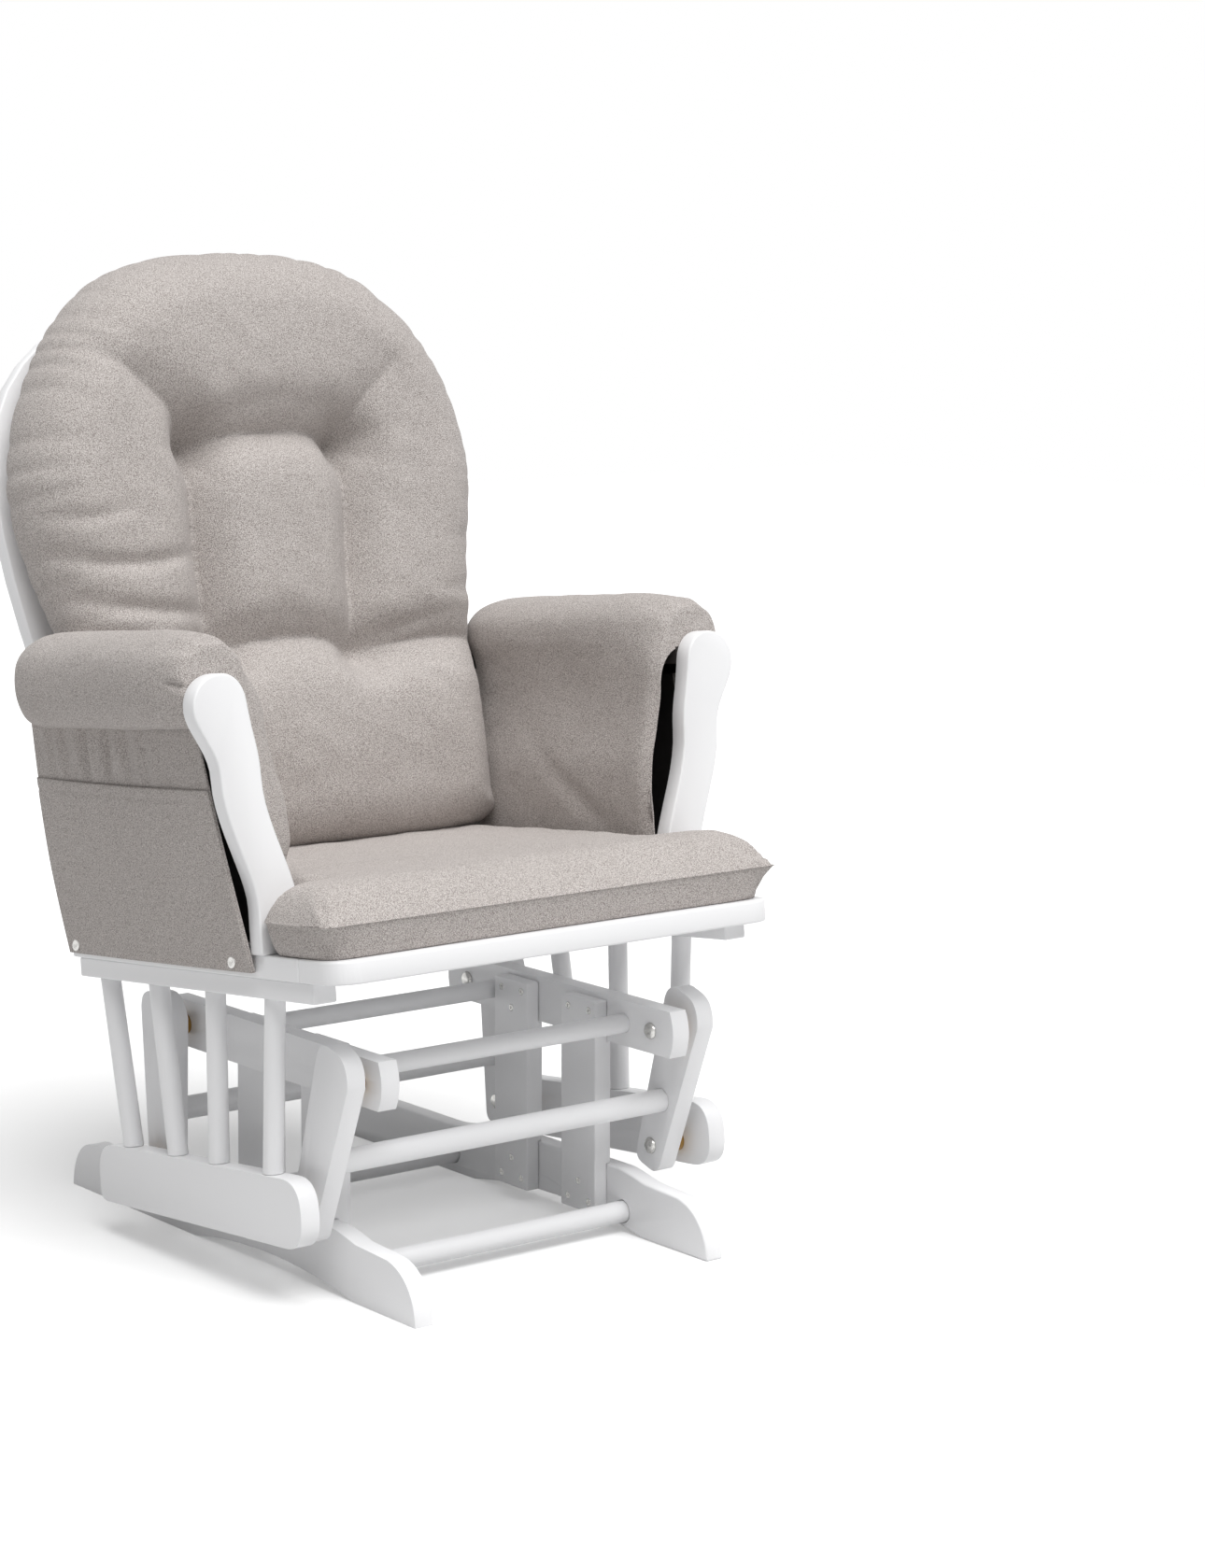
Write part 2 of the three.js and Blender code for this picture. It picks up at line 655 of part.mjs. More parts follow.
// Half of an arch's outline, from its foot up to the middle of its top.
function archHalf(footHalfWidth, halfWidth, footHeight, shoulderHeight, topHeight) {
  const legHeight = shoulderHeight - footHeight;
  const crownHeight = topHeight - shoulderHeight;
  const leg = new THREE.CubicBezierCurve(
    new THREE.Vector2(footHalfWidth, footHeight),
    new THREE.Vector2(footHalfWidth, footHeight + legHeight / 3),
    new THREE.Vector2(halfWidth, footHeight + 2 * legHeight / 3),
    new THREE.Vector2(halfWidth, shoulderHeight));
  const crown = new THREE.CubicBezierCurve(
    new THREE.Vector2(halfWidth, shoulderHeight),
    new THREE.Vector2(halfWidth, shoulderHeight + hoopShoulderPull * crownHeight),
    new THREE.Vector2(hoopCrownPull * halfWidth, topHeight),
    new THREE.Vector2(0, topHeight));
  return [...leg.getPoints(curveSegments), ...crown.getPoints(curveSegments).slice(1)];
}

function insetCurve(points, distance) {
  return points.map((point, index) => {
    const before = points[Math.max(index - 1, 0)];
    const after = points[Math.min(index + 1, points.length - 1)];
    const direction = after.clone().sub(before).normalize();
    return new THREE.Vector2(point.x - distance * direction.y, point.y + distance * direction.x);
  });
}

function mirrored(points) {
  return points.map((point) => new THREE.Vector2(-point.x, point.y)).reverse();
}

const hoopOuter = archHalf(hoopFootHalfWidth, hoopHalfWidth, 0, hoopShoulderHeight, hoopHeight);
const hoopInner = insetCurve(hoopOuter, hoopWidth);
hoopInner[0].y = 0;
hoopInner[hoopInner.length - 1].x = 0;
const hoopShape = new THREE.Shape([
  ...hoopOuter, ...mirrored(hoopOuter).slice(1),
  ...hoopInner.slice(0, -1).map((point) => new THREE.Vector2(-point.x, point.y)),
  ...hoopInner.slice().reverse(),
]);
addPiece(back, 'back_hoop', frontBoard(hoopShape, hoopThickness, 0), whitePaint());

// The grille is glued up before it is fitted, and its outline follows the inside of the hoop.
const grilleInner = insetCurve(hoopOuter, hoopWidth + joinGap);
grilleInner[0].y = 0;
grilleInner[grilleInner.length - 1].x = 0;
const grilleLimit = new THREE.Shape([...grilleInner, ...mirrored(grilleInner).slice(1)]);
const slatFrontY = (hoopThickness - slatThickness) / 2;
const slatRearY = slatFrontY + slatThickness;
const grilleBars = [box(-hoopHalfWidth, hoopHalfWidth, slatFrontY, slatRearY, backRailBottom,
  backRailBottom + backRailHeight)];
for (let index = 0; index < slatCount; index += 1) {
  const x = (index - (slatCount - 1) / 2) * slatSpacing;
  grilleBars.push(box(x - slatWidth / 2, x + slatWidth / 2, slatFrontY, slatRearY,
    backRailBottom + backRailHeight / 2, hoopHeight));
}
const grille = intersect(join(grilleBars), frontBoard(grilleLimit, hoopThickness, 0));
addPiece(back, 'back_grille', grille, whitePaint());

// ---- Arms: a post in front, a board back to the hoop, and a padded cover over the board ----------------
const armPostFootOuterX = seatHalfWidth + armPostFootOverhang;
const armPostFootInnerX = armPostFootOuterX - armPostFootWidth;
const armRollFrontX = seatHalfWidth + armRollFrontOverhang;
const armRollRearX = seatHalfWidth + armRollRearOverhang;
const armBoardRearX = seatHalfWidth + armBoardRearOverhang;
const outerPanelFootX = seatHalfWidth + outerPanelClearance;
const innerPanelFootX = seatHalfWidth - innerPanelInset;

function armPostShape(side) {
  const foot = seatBoardThickness + joinGap;
  const waistOuterX = armPostFootOuterX + armPostWaistReach;
  const headOuterX = armPostFootOuterX + armPostHeadReach;
  const crownX = armPostFootOuterX + armPostCrownReach;
  const ankleInnerX = armPostFootInnerX + armPostAnkleSet;
  const waistInnerX = armPostFootInnerX + armPostWaistSet;
  const headInnerX = armPostFootInnerX + armPostHeadSet;
  const headSideT = armPostTop - armPostHeadRadius;
  const shape = new THREE.Shape();
  const at = (x, t) => [side * x, t];
  shape.moveTo(...at(armPostFootInnerX, foot));
  shape.lineTo(...at(armPostFootOuterX, foot));
  shape.lineTo(...at(armPostFootOuterX, armPostAnkleT));
  shape.bezierCurveTo(...at(armPostFootOuterX, armPostCalfT), ...at(waistOuterX, armPostKneeT),
    ...at(waistOuterX, armPostWaistT));
  shape.bezierCurveTo(...at(waistOuterX, armPostNeckT), ...at(headOuterX, armPostHeadT),
    ...at(headOuterX, headSideT));
  shape.quadraticCurveTo(...at(headOuterX, armPostTop), ...at(crownX, armPostTop));
  shape.quadraticCurveTo(...at(headInnerX, armPostTop), ...at(headInnerX, headSideT));
  shape.bezierCurveTo(...at(headInnerX, armPostHeadT), ...at(waistInnerX, armPostNeckT),
    ...at(waistInnerX, armPostWaistT));
  shape.bezierCurveTo(...at(waistInnerX, armPostKneeT), ...at(ankleInnerX, armPostCalfT),
    ...at(ankleInnerX, armPostAnkleT));
  return shape;
}

const hoopFaceS = (t) => seatDepth + t * Math.tan(radians(backLean));
const armPostRearS = armPostFrontS + armPostThickness;
const armBoardBottom = armBoardTop - armBoardThickness;

function armBoardShape(side) {
  const frontS = armPostRearS + joinGap;
  const rearS = hoopFaceS(armBoardBottom) - joinGap;
  const half = armBoardWidth / 2;
  return new THREE.Shape([
    new THREE.Vector2(side * (armRollFrontX - half), frontS),
    new THREE.Vector2(side * (armRollFrontX + half), frontS),
    new THREE.Vector2(side * (armBoardRearX + half), rearS),
    new THREE.Vector2(side * (armBoardRearX - half), rearS),
  ]);
}

// One cross-section of an arm cover: a padded roll with a panel down each side, open underneath.
function armCoverRing(side, s, rollX) {
  const boardClear = armBoardWidth / 2 + armBoardClearance;
  const innerFootT = seatBoardThickness + joinGap;
  const rollHalfHeight = (armRollTop - armRollBottom) / 2;
  const outerSeamX = rollX + armRollHalfWidth / 4;
  const innerPanelTopT = innerFootT + innerPanelHeight;
  const boardX = THREE.MathUtils.lerp(armRollFrontX, armBoardRearX,
    (s - armPostRearS) / (hoopFaceS(armBoardBottom) - armPostRearS));
  const ring = [[outerPanelFootX, outerPanelFootT], [outerSeamX, armRollBottom]];
  for (let step = 0; step <= curveSegments; step += 1) {
    const angle = radians(THREE.MathUtils.lerp(rollStartAngle, rollEndAngle, step / curveSegments));
    ring.push([rollX + armRollHalfWidth * Math.cos(angle),
      armRollBottom + rollHalfHeight + rollHalfHeight * Math.sin(angle)]);
  }
  ring.push(
    [innerPanelFootX, innerPanelTopT],
    [innerPanelFootX, innerFootT],
    [innerPanelFootX + armCoverSkin, innerFootT],
    [innerPanelFootX + armCoverSkin, innerPanelTopT],
    [boardX - boardClear, armBoardBottom - 2 * armBoardClearance],
    [boardX - boardClear, armBoardTop + armBoardClearance],
    [boardX + boardClear, armBoardTop + armBoardClearance],
    [boardX + boardClear, armBoardBottom - 2 * armBoardClearance],
    [outerSeamX - 2 * armCoverSkin, armRollBottom + armCoverSkin],
    [outerPanelFootX - armCoverSkin, outerPanelFootT]);
  return ring.map(([x, t]) => new THREE.Vector3(side * x, s, t));
}

const coverRings = 5;
for (const [sideName, side] of sides) {
  const post = frontBoard(armPostShape(side), armPostThickness, armPostFrontS);
  addPiece(seat, `arm_post_${sideName}`, post, whitePaint());
  addPiece(seat, `arm_board_${sideName}`, flatBoard(armBoardShape(side), armBoardThickness, armBoardBottom),
    darkWood());
  const rings = [];
  for (let index = 0; index < coverRings; index += 1) {
    const along = index / (coverRings - 1);
    const s = THREE.MathUtils.lerp(armPostRearS + joinGap, seatDepth - armCoverRearInset, along);
    rings.push(armCoverRing(side, s, THREE.MathUtils.lerp(armRollFrontX, armRollRearX, along)));
  }
  addPiece(seat, `arm_cover_${sideName}`, loft(rings), greyFabric());
}

// ---- Cushions -----------------------------------------------------------------------------------------
// The seat cushion is wide in front of the arm posts and narrow between the arms.
function seatCushionShape() {
  const earRearS = armPostFrontS - 2 * joinGap;
  const radius = seatCushionCornerRadius;
  const shape = new THREE.Shape();
  const wide = seatHalfWidth + seatCushionOverhang;
  const narrow = innerPanelFootX - seatCushionArmClearance;
  const rearS = seatDepth - seatCushionRearInset;
  shape.moveTo(-wide + radius, seatCushionFrontS);
  shape.lineTo(wide - radius, seatCushionFrontS);
  shape.quadraticCurveTo(wide, seatCushionFrontS, wide, seatCushionFrontS + radius);
  shape.lineTo(wide, earRearS);
  shape.lineTo(narrow, earRearS);
  shape.lineTo(narrow, rearS);
  shape.lineTo(-narrow, rearS);
  shape.lineTo(-narrow, earRearS);
  shape.lineTo(-wide, earRearS);
  shape.lineTo(-wide, seatCushionFrontS + radius);
  shape.quadraticCurveTo(-wide, seatCushionFrontS, -wide + radius, seatCushionFrontS);
  return shape;
}
const seatCushionBottom = seatBoardThickness + joinGap;
addPiece(seat, 'seat_cushion', flatBoard(seatCushionShape(), seatCushionHeight, seatCushionBottom),
  greyFabric());

// The back cushion leans on the hoop and stands on the seat cushion. It widens above the arms.
function backCushionShape() {
  const armHalfWidth = innerPanelFootX - backCushionArmClearance;
  const seatCushionTop = seatCushionBottom + seatCushionHeight;
  const bottom = (seatCushionTop + joinGap) / Math.cos(radians(backLean));
  const crown = archHalf(backCushionHalfWidth, backCushionHalfWidth, backCushionShoulder,
    backCushionShoulderTop, backCushionTop);
  return new THREE.Shape([
    new THREE.Vector2(armHalfWidth, bottom),
    new THREE.Vector2(armHalfWidth, backCushionShoulder),
    ...crown,
    ...mirrored(crown).slice(1),
    new THREE.Vector2(-armHalfWidth, backCushionShoulder),
    new THREE.Vector2(-armHalfWidth, bottom),
  ]);
}
function distanceToLine(point, start, end) {
  const line = new THREE.Line3(start, end);
  return line.closestPointToPoint(point, true, new THREE.Vector3()).distanceTo(point);
}

// The cover is drawn in along channels: four between the tufts and two out to each side.
const tuft = (sideSign, height) => new THREE.Vector3(sideSign * backTuftX, height, 0);
const backChannels = [
  [tuft(-1, backUpperTuftHeight), tuft(1, backUpperTuftHeight)],
  [tuft(-1, backLowerTuftHeight), tuft(1, backLowerTuftHeight)],
];
for (const [, side] of sides) {
  backChannels.push([tuft(side, backUpperTuftHeight), tuft(side, backLowerTuftHeight)]);
  backChannels.push([tuft(side, backUpperTuftHeight),
    new THREE.Vector3(side * backChannelEndX, backChannelEndHeight, 0)]);
  backChannels.push([tuft(side, backLowerTuftHeight),
    new THREE.Vector3(side * backCushionHalfWidth, backLowerTuftHeight, 0)]);
}

// How far the front of the cushion stands ahead of its seam at one point of its outline's plane.
function padFullness(point, outline) {
  const inward = Math.min(...outline.map((corner, index) =>
    distanceToLine(point, corner, outline[(index + 1) % outline.length])));
  const rise = Math.min(inward / backCushionEdgeReach, 1);
  const nearest = Math.min(...backChannels.map(([start, end]) => distanceToLine(point, start, end)));
  const pull = backChannelShare * Math.exp(-((nearest / backChannelWidth) ** 2));
  return (backCushionThickness - backCushionSeam) * Math.sqrt(1 - (1 - rise) ** 2) * (1 - pull);
}

function backCushionRings() {
  const outline = backCushionShape().getSpacedPoints(backOutlinePoints).slice(0, -1)
    .map((point) => new THREE.Vector3(point.x, point.y, 0));
  const pole = new THREE.Vector3(0, backPoleHeight, 0);
  const ringAt = (share, frontOf) => outline.map((corner) => {
    const point = pole.clone().lerp(corner, share);
    return new THREE.Vector3(point.x, -frontOf(point) - joinGap, point.y);
  });
  const rings = [ringAt(1, () => 0), ringAt(1, () => backCushionSeam)];
  for (let index = 1; index < backRings; index += 1) {
    const share = Math.cos((index / backRings) * Math.PI / 2);
    rings.push(ringAt(share, (point) => backCushionSeam + padFullness(point, outline)));
  }
  return rings;
}
addPiece(back, 'back_cushion', loft(backCushionRings(), true), greyFabric());

// ---- The origin lies on the floor, under the middle of the whole chair ---------------------------------
chair.updateMatrixWorld(true);
const extent = new THREE.Box3().setFromObject(chair, true);
chair.position.y = -(extent.min.y + extent.max.y) / 2;

export default chair;
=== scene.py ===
# A glider nursery chair: a white painted hardwood base and swing seat, with grey upholstery.
import json
import math
import bmesh
import bpy
import numpy as np
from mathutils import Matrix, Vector


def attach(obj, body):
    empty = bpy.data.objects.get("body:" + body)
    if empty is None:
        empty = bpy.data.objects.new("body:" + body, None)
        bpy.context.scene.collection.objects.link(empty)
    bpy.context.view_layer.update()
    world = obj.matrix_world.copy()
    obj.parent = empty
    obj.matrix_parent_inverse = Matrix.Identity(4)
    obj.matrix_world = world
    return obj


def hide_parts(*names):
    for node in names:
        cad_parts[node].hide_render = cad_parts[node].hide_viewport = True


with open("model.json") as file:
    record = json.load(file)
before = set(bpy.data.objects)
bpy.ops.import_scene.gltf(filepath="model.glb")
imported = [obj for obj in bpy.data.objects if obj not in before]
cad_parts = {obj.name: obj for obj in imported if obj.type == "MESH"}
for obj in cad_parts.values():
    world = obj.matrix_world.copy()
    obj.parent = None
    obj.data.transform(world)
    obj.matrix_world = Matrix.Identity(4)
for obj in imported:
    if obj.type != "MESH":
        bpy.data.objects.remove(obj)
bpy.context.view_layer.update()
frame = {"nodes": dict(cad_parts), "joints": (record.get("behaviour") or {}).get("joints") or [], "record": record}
scene = bpy.context.scene
scene.view_settings.view_transform = "Standard"

# ---- Camera --------------------------------------------------------------------------------------
# It stands at the left of the chair's front, a little above its top, and looks slightly down. Its lens
# is long, and the lens is shifted to set the chair in the frame.
eye_place = (-2.0756, -2.9961, 1.0322)
eye_heading = 0.64816
eye_pitch = 0.08797
camera_data = bpy.data.cameras.new("camera")
camera_data.lens = 80.22
camera_data.shift_x = 0.0545
camera_data.shift_y = -0.15
camera = bpy.data.objects.new("camera", camera_data)
camera.location = eye_place
camera.rotation_euler = (math.pi / 2 - eye_pitch, 0, -eye_heading)
scene.collection.objects.link(camera)
scene.camera = camera

# ---- Floor and light -----------------------------------------------------------------------------
# A white studio sweep. One broad light hangs high in front of the chair, and white walls fill in the
# shade under it.


def linear(code):
    """The linear RGBA of an sRGB hex colour: each channel goes through the inverse sRGB curve."""
    channels = np.array([int(code[i:i + 2], 16) for i in (1, 3, 5)]) / 255
    curve = np.where(channels <= 0.04045, channels / 12.92, ((channels + 0.055) / 1.055) ** 2.4)
    return (*curve.tolist(), 1.0)


def add_node(tree, kind, settings=None, **inputs):
    """Adds one node, sets its settings, and fills or links its inputs, named by words or by in_N."""
    node = tree.nodes.new(kind)
    for key, value in (settings or {}).items():
        setattr(node, key, value)
    for key, value in inputs.items():
        socket = node.inputs[int(key[3:]) if key.startswith("in_") else key.replace("_", " ")]
        if isinstance(value, bpy.types.NodeSocket):
            tree.links.new(value, socket)
        else:
            socket.default_value = value
    return node


def new_material(name):
    """An empty node material and its tree, with an output node that the caller links to."""
    material = bpy.data.materials.new(name)
    material.use_nodes = True
    tree = material.node_tree
    tree.nodes.clear()
    return material, tree


def seen_directly(tree):
    """1 for rays from the camera, straight or by way of a gloss, and 0 for the light on a surface."""
    light_path = add_node(tree, "ShaderNodeLightPath")
    seen = add_node(tree, "ShaderNodeMath", {"operation": "MAXIMUM"},
                    in_0=light_path.outputs["Is Camera Ray"], in_1=light_path.outputs["Is Glossy Ray"])
    return seen.outputs[0]


# To the camera the paper and the walls are nearly white, and they light the chair less than that.
floor_reach = 9.0
floor_mesh = bpy.data.meshes.new("studio_floor")
floor_corners = [(-floor_reach, -floor_reach, 0), (floor_reach, -floor_reach, 0),
                 (floor_reach, floor_reach, 0), (-floor_reach, floor_reach, 0)]
floor_mesh.from_pydata(floor_corners, [], [(0, 1, 2, 3)])
floor = bpy.data.objects.new("studio_floor", floor_mesh)
scene.collection.objects.link(floor)
floor_paper, tree = new_material("white_studio_paper")
seen = seen_directly(tree)
lift = add_node(tree, "ShaderNodeMath", {"operation": "MULTIPLY"}, in_0=seen, in_1=0.25)
glow = add_node(tree, "ShaderNodeEmission", Color=(1, 1, 1, 1), Strength=lift.outputs[0])
tone = add_node(tree, "ShaderNodeMix", {"data_type": "RGBA"}, Factor=seen,
                in_6=linear("#D4D4D4"), in_7=linear("#F2F2F2"))
paper = add_node(tree, "ShaderNodeBsdfDiffuse", Color=tone.outputs[2])
both = add_node(tree, "ShaderNodeAddShader", in_0=paper.outputs[0], in_1=glow.outputs[0])
add_node(tree, "ShaderNodeOutputMaterial", Surface=both.outputs[0])
floor_mesh.materials.append(floor_paper)

world = bpy.data.worlds.new("studio")
scene.world = world
world.use_nodes = True
tree = world.node_tree
tree.nodes.clear()
seen = seen_directly(tree)
strength = add_node(tree, "ShaderNodeMapRange", Value=seen, To_Min=0.28, To_Max=1.0)
sky = add_node(tree, "ShaderNodeBackground", Color=(1, 1, 1, 1), Strength=strength.outputs[0])
add_node(tree, "ShaderNodeOutputWorld", Surface=sky.outputs[0])

key_data = bpy.data.lights.new("broad_softbox", "SUN")
key_data.energy = 3.15
key_data.angle = math.radians(50)
key = bpy.data.objects.new("broad_softbox", key_data)
key_direction = (0.02, 0.40, -0.91)
key.rotation_euler = Vector(key_direction).to_track_quat("-Z", "Y").to_euler()
scene.collection.objects.link(key)

# ---- Painted hardwood ----------------------------------------------------------------------------
# Rails, posts, links, spindles, seat frame, hoop and arm posts are solid hardwood boards and dowels.
# Their edges are eased with a small round-over, and they are sprayed with white satin enamel.
edge_round = 0.0022
dowel_round = 0.0012
record = frame["record"]
slots = {row["node"]: row["material_slot"] for row in record["subparts"]}


def satin_enamel():
    """White sprayed enamel on hardwood: smooth, with a faint sheen and a hint of filled grain."""
    material, tree = new_material("satin_enamel")
    place = add_node(tree, "ShaderNodeTexCoord")
    orange_peel = add_node(tree, "ShaderNodeTexNoise", Vector=place.outputs["Object"], Scale=260.0,
                           Detail=2.0)
    bump = add_node(tree, "ShaderNodeBump", Strength=0.05, Distance=0.0004, Height=orange_peel.outputs[0])
    cloudy = add_node(tree, "ShaderNodeTexNoise", Vector=place.outputs["Object"], Scale=9.0, Detail=3.0)
    rough = add_node(tree, "ShaderNodeMapRange", Value=cloudy.outputs[0], To_Min=0.36, To_Max=0.46)
    shader = add_node(tree, "ShaderNodeBsdfPrincipled", Base_Color=linear("#F3F3F4"), IOR=1.5,
                      Roughness=rough.outputs[0], Normal=bump.outputs[0])
    add_node(tree, "ShaderNodeOutputMaterial", Surface=shader.outputs[0])
    return material


def wear(piece, material):
    """Gives a piece one material all over, in place of what it had."""
    piece.data.materials.clear()
    piece.data.materials.append(material)


def ease_edges(piece, width):
    """Merges a board's triangles into flat faces, then rounds every sharp edge to the given width."""
    piece.data.polygons.foreach_set("use_smooth", np.ones(len(piece.data.polygons), bool))
    weld = piece.modifiers.new("weld", "WELD")
    weld.merge_threshold = 0.00002
    flat = piece.modifiers.new("flat", "DECIMATE")
    flat.decimate_type = "DISSOLVE"
    flat.angle_limit = math.radians(0.6)
    round_over = piece.modifiers.new("round_over", "BEVEL")
    round_over.width = width
    round_over.segments = 3
    round_over.limit_method = "ANGLE"
    round_over.angle_limit = math.radians(32)
    round_over.harden_normals = True


def vertex_places(mesh):
    """The mesh's vertices as an array of (x, y, z) rows."""
    places = np.zeros(len(mesh.vertices) * 3, np.float32)
    mesh.vertices.foreach_get("co", places)
    return places.reshape(-1, 3)


def reshaped(node, name, places):
    """Puts a copy of a board in its place, with the copy's vertices at the given places."""
    piece = node.copy()
    piece.data = node.data.copy()
    piece.name = name + "_shaped"
    scene.collection.objects.link(piece)
    piece.data.vertices.foreach_set("co", places.reshape(-1))
    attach(piece, "seat")
    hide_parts(name)


# The arm posts' heads are sanded rounder than their sawn outline, by this share over this length.
head_length = 0.048
head_narrowing = 0.26
enamel = satin_enamel()
for name, node in frame["nodes"].items():
    if slots[name] != "white_paint":
        continue
    wear(node, enamel)
    round_bar = "dowel" in name or "spindle" in name
    ease_edges(node, dowel_round if round_bar else edge_round)
    if name.startswith("arm_post"):
        places = vertex_places(node.data)
        head = np.clip((places[:, 2] - places[:, 2].max() + head_length) / head_length, 0, 1) ** 2
        head_middle = (places[head > 0.2, 0].min() + places[head > 0.2, 0].max()) / 2
        places[:, 0] -= head_narrowing * (places[:, 0] - head_middle) * head
        reshaped(node, name, places)

# ---- Hidden arm boards ---------------------------------------------------------------------------
# A board runs inside each arm cover from the arm post to the hoop. It is coloured near-black as painted
# shade, so it doesn't show in the slit between the cover and the post.


def shade_black_board():
    """Hardwood coloured near-black as painted shade: nearly no colour, with a dull broken sheen along its grain.
    """
    material, tree = new_material("painted_shade_black_wood")
    place = add_node(tree, "ShaderNodeTexCoord")
    stretch = add_node(tree, "ShaderNodeMapping", Vector=place.outputs["Object"], Scale=(60.0, 3.0, 60.0))
    grain = add_node(tree, "ShaderNodeTexNoise", Vector=stretch.outputs[0], Scale=3.0, Detail=6.0)
    rough = add_node(tree, "ShaderNodeMapRange", Value=grain.outputs[0], To_Min=0.6, To_Max=0.8)
    shader = add_node(tree, "ShaderNodeBsdfPrincipled", Base_Color=linear("#2B2624"),
                      Roughness=rough.outputs[0])
    add_node(tree, "ShaderNodeOutputMaterial", Surface=shader.outputs[0])
    return material


# The rear end is shaved so that the cover's rounded end hides it.
board_end_length = 0.03
board_end_inset = 0.011
# The boards' near-black colour is painted shade for the slit between each cover and its post.
shade_black_wood = shade_black_board()
for name, node in frame["nodes"].items():
    if slots[name] != "dark_wood":
        continue
    wear(node, shade_black_wood)
    places = vertex_places(node.data)
    rear = places[:, 1] > places[:, 1].max() - board_end_length
    places[rear, 0] -= np.sign(places[:, 0].mean()) * board_end_inset
    places[rear, 1] -= board_end_inset
    reshaped(node, name, places)

# ---- Pivot hardware ------------------------------------------------------------------------------
# Each pivot is a nickel plated bolt with a domed head, which screws into the outer board, and a brass
# spacer keeps the two boards apart. Bands are where the spacers sit, as distances from the middle.
upper_spacer_band = (0.1925, 0.2070)
lower_spacer_band = (0.2285, 0.2442)
nickel = "#CBCAC7"
plate_roughness = 0.24
bolt_edge_round = 0.0006


def plated_bolt(name, band):
    """Bright nickel plate, with warm polished brass over the band where the spacer sits."""
    material, tree = new_material(name)
    place = add_node(tree, "ShaderNodeTexCoord")
    parts = add_node(tree, "ShaderNodeSeparateXYZ", Vector=place.outputs["Object"])
    away = add_node(tree, "ShaderNodeMath", {"operation": "ABSOLUTE"}, in_0=parts.outputs[0])
    offset = add_node(tree, "ShaderNodeMath", {"operation": "SUBTRACT"}, in_0=away.outputs[0],
                      in_1=sum(band) / 2)
    distance = add_node(tree, "ShaderNodeMath", {"operation": "ABSOLUTE"}, in_0=offset.outputs[0])
    brass = add_node(tree, "ShaderNodeMath", {"operation": "LESS_THAN"}, in_0=distance.outputs[0],
                     in_1=(band[1] - band[0]) / 2)
    tone = add_node(tree, "ShaderNodeMix", {"data_type": "RGBA"}, Factor=brass.outputs[0],
                    in_6=linear(nickel), in_7=linear("#C8A468"))
    shader = add_node(tree, "ShaderNodeBsdfPrincipled", Base_Color=tone.outputs[2], Metallic=1.0,
                      Roughness=plate_roughness)
    add_node(tree, "ShaderNodeOutputMaterial", Surface=shader.outputs[0])
    return material


upper_plate = plated_bolt("nickel_and_brass_upper", upper_spacer_band)
lower_plate = plated_bolt("nickel_and_brass_lower", lower_spacer_band)
for name, node in frame["nodes"].items():
    if slots[name] == "plated_steel":
        wear(node, upper_plate if "upper" in name else lower_plate)
        ease_edges(node, bolt_edge_round)


def made_piece(name, vertices, faces, material, merge=0.0):
    """A smooth-shaded mesh in one material. A merge distance joins close vertices and turns faces out."""
    mesh = bpy.data.meshes.new(name)
    mesh.from_pydata(vertices.tolist(), [], faces.tolist())
    if merge:
        work = bmesh.new()
        work.from_mesh(mesh)
        bmesh.ops.remove_doubles(work, verts=work.verts, dist=merge)
        bmesh.ops.recalc_face_normals(work, faces=work.faces)
        work.to_mesh(mesh)
        work.free()
    mesh.polygons.foreach_set("use_smooth", np.ones(len(mesh.polygons), bool))
    piece = bpy.data.objects.new(name, mesh)
    scene.collection.objects.link(piece)
    wear(piece, material)
    return piece


def turned(name, profile, places, facing, material):
    """Small turned pieces as one mesh: a profile of (radius, height) pairs in mm at each place.

    They all face one way, and their profile is turned in 24 steps."""
    angles = np.linspace(0, 2 * math.pi, 25)[:-1]
    profile = np.array(profile, float) / 1000
    local = np.stack([profile[:, :1] * np.cos(angles), profile[:, :1] * np.sin(angles),
                      profile[:, 1:] + 0 * angles[None]], axis=-1)
    turn = np.array(Vector(facing).to_track_quat("Z", "Y").to_matrix())
    local = local @ turn.T
    vertices, faces = [], []
    rows, columns = local.shape[:2]
    index = np.arange(rows * columns).reshape(rows, columns)
    onward = np.roll(index, -1, axis=1)
    quads = np.stack([index[:-1], onward[:-1], onward[1:], index[1:]], axis=-1).reshape(-1, 4)
    for place in places:
        faces.append(quads + len(vertices) * rows * columns)
        vertices.append(local.reshape(-1, 3) + np.array(place))
    return made_piece(name, np.concatenate(vertices), np.concatenate(faces), material, merge=0.000002)


# Three countersunk screws at the post's foot and three at its top go in from its inner face. Each row is
# a screw's step from the first one and its height.
nickel_plate, tree = new_material("nickel_plate")
shader = add_node(tree, "ShaderNodeBsdfPrincipled", Base_Color=linear(nickel), Metallic=1.0,
                  Roughness=plate_roughness)
add_node(tree, "ShaderNodeOutputMaterial", Surface=shader.outputs[0])
post_inner_x = 0.1542
screw_rows = ((0.0, 0.0263), (0.0175, 0.0456), (0.035, 0.0263),
              (0.0, 0.2305), (0.0175, 0.2103), (0.035, 0.2305))
post_first_screws = (-0.0588, -0.1755)
screw_profile = [(0, -1.0), (3.4, -1.0), (3.9, 0.05), (3.2, 0.45), (1.5, 0.7), (1.1, 0.1), (0, 0.0)]
for side_name, side in (("left", -1), ("right", 1)):
    places = [(side * post_inner_x, first + step, height) for first in post_first_screws
              for step, height in screw_rows]
    screws = turned(f"post_screws_{side_name}", screw_profile, places, (-side, 0, 0), nickel_plate)
    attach(screws, "base")

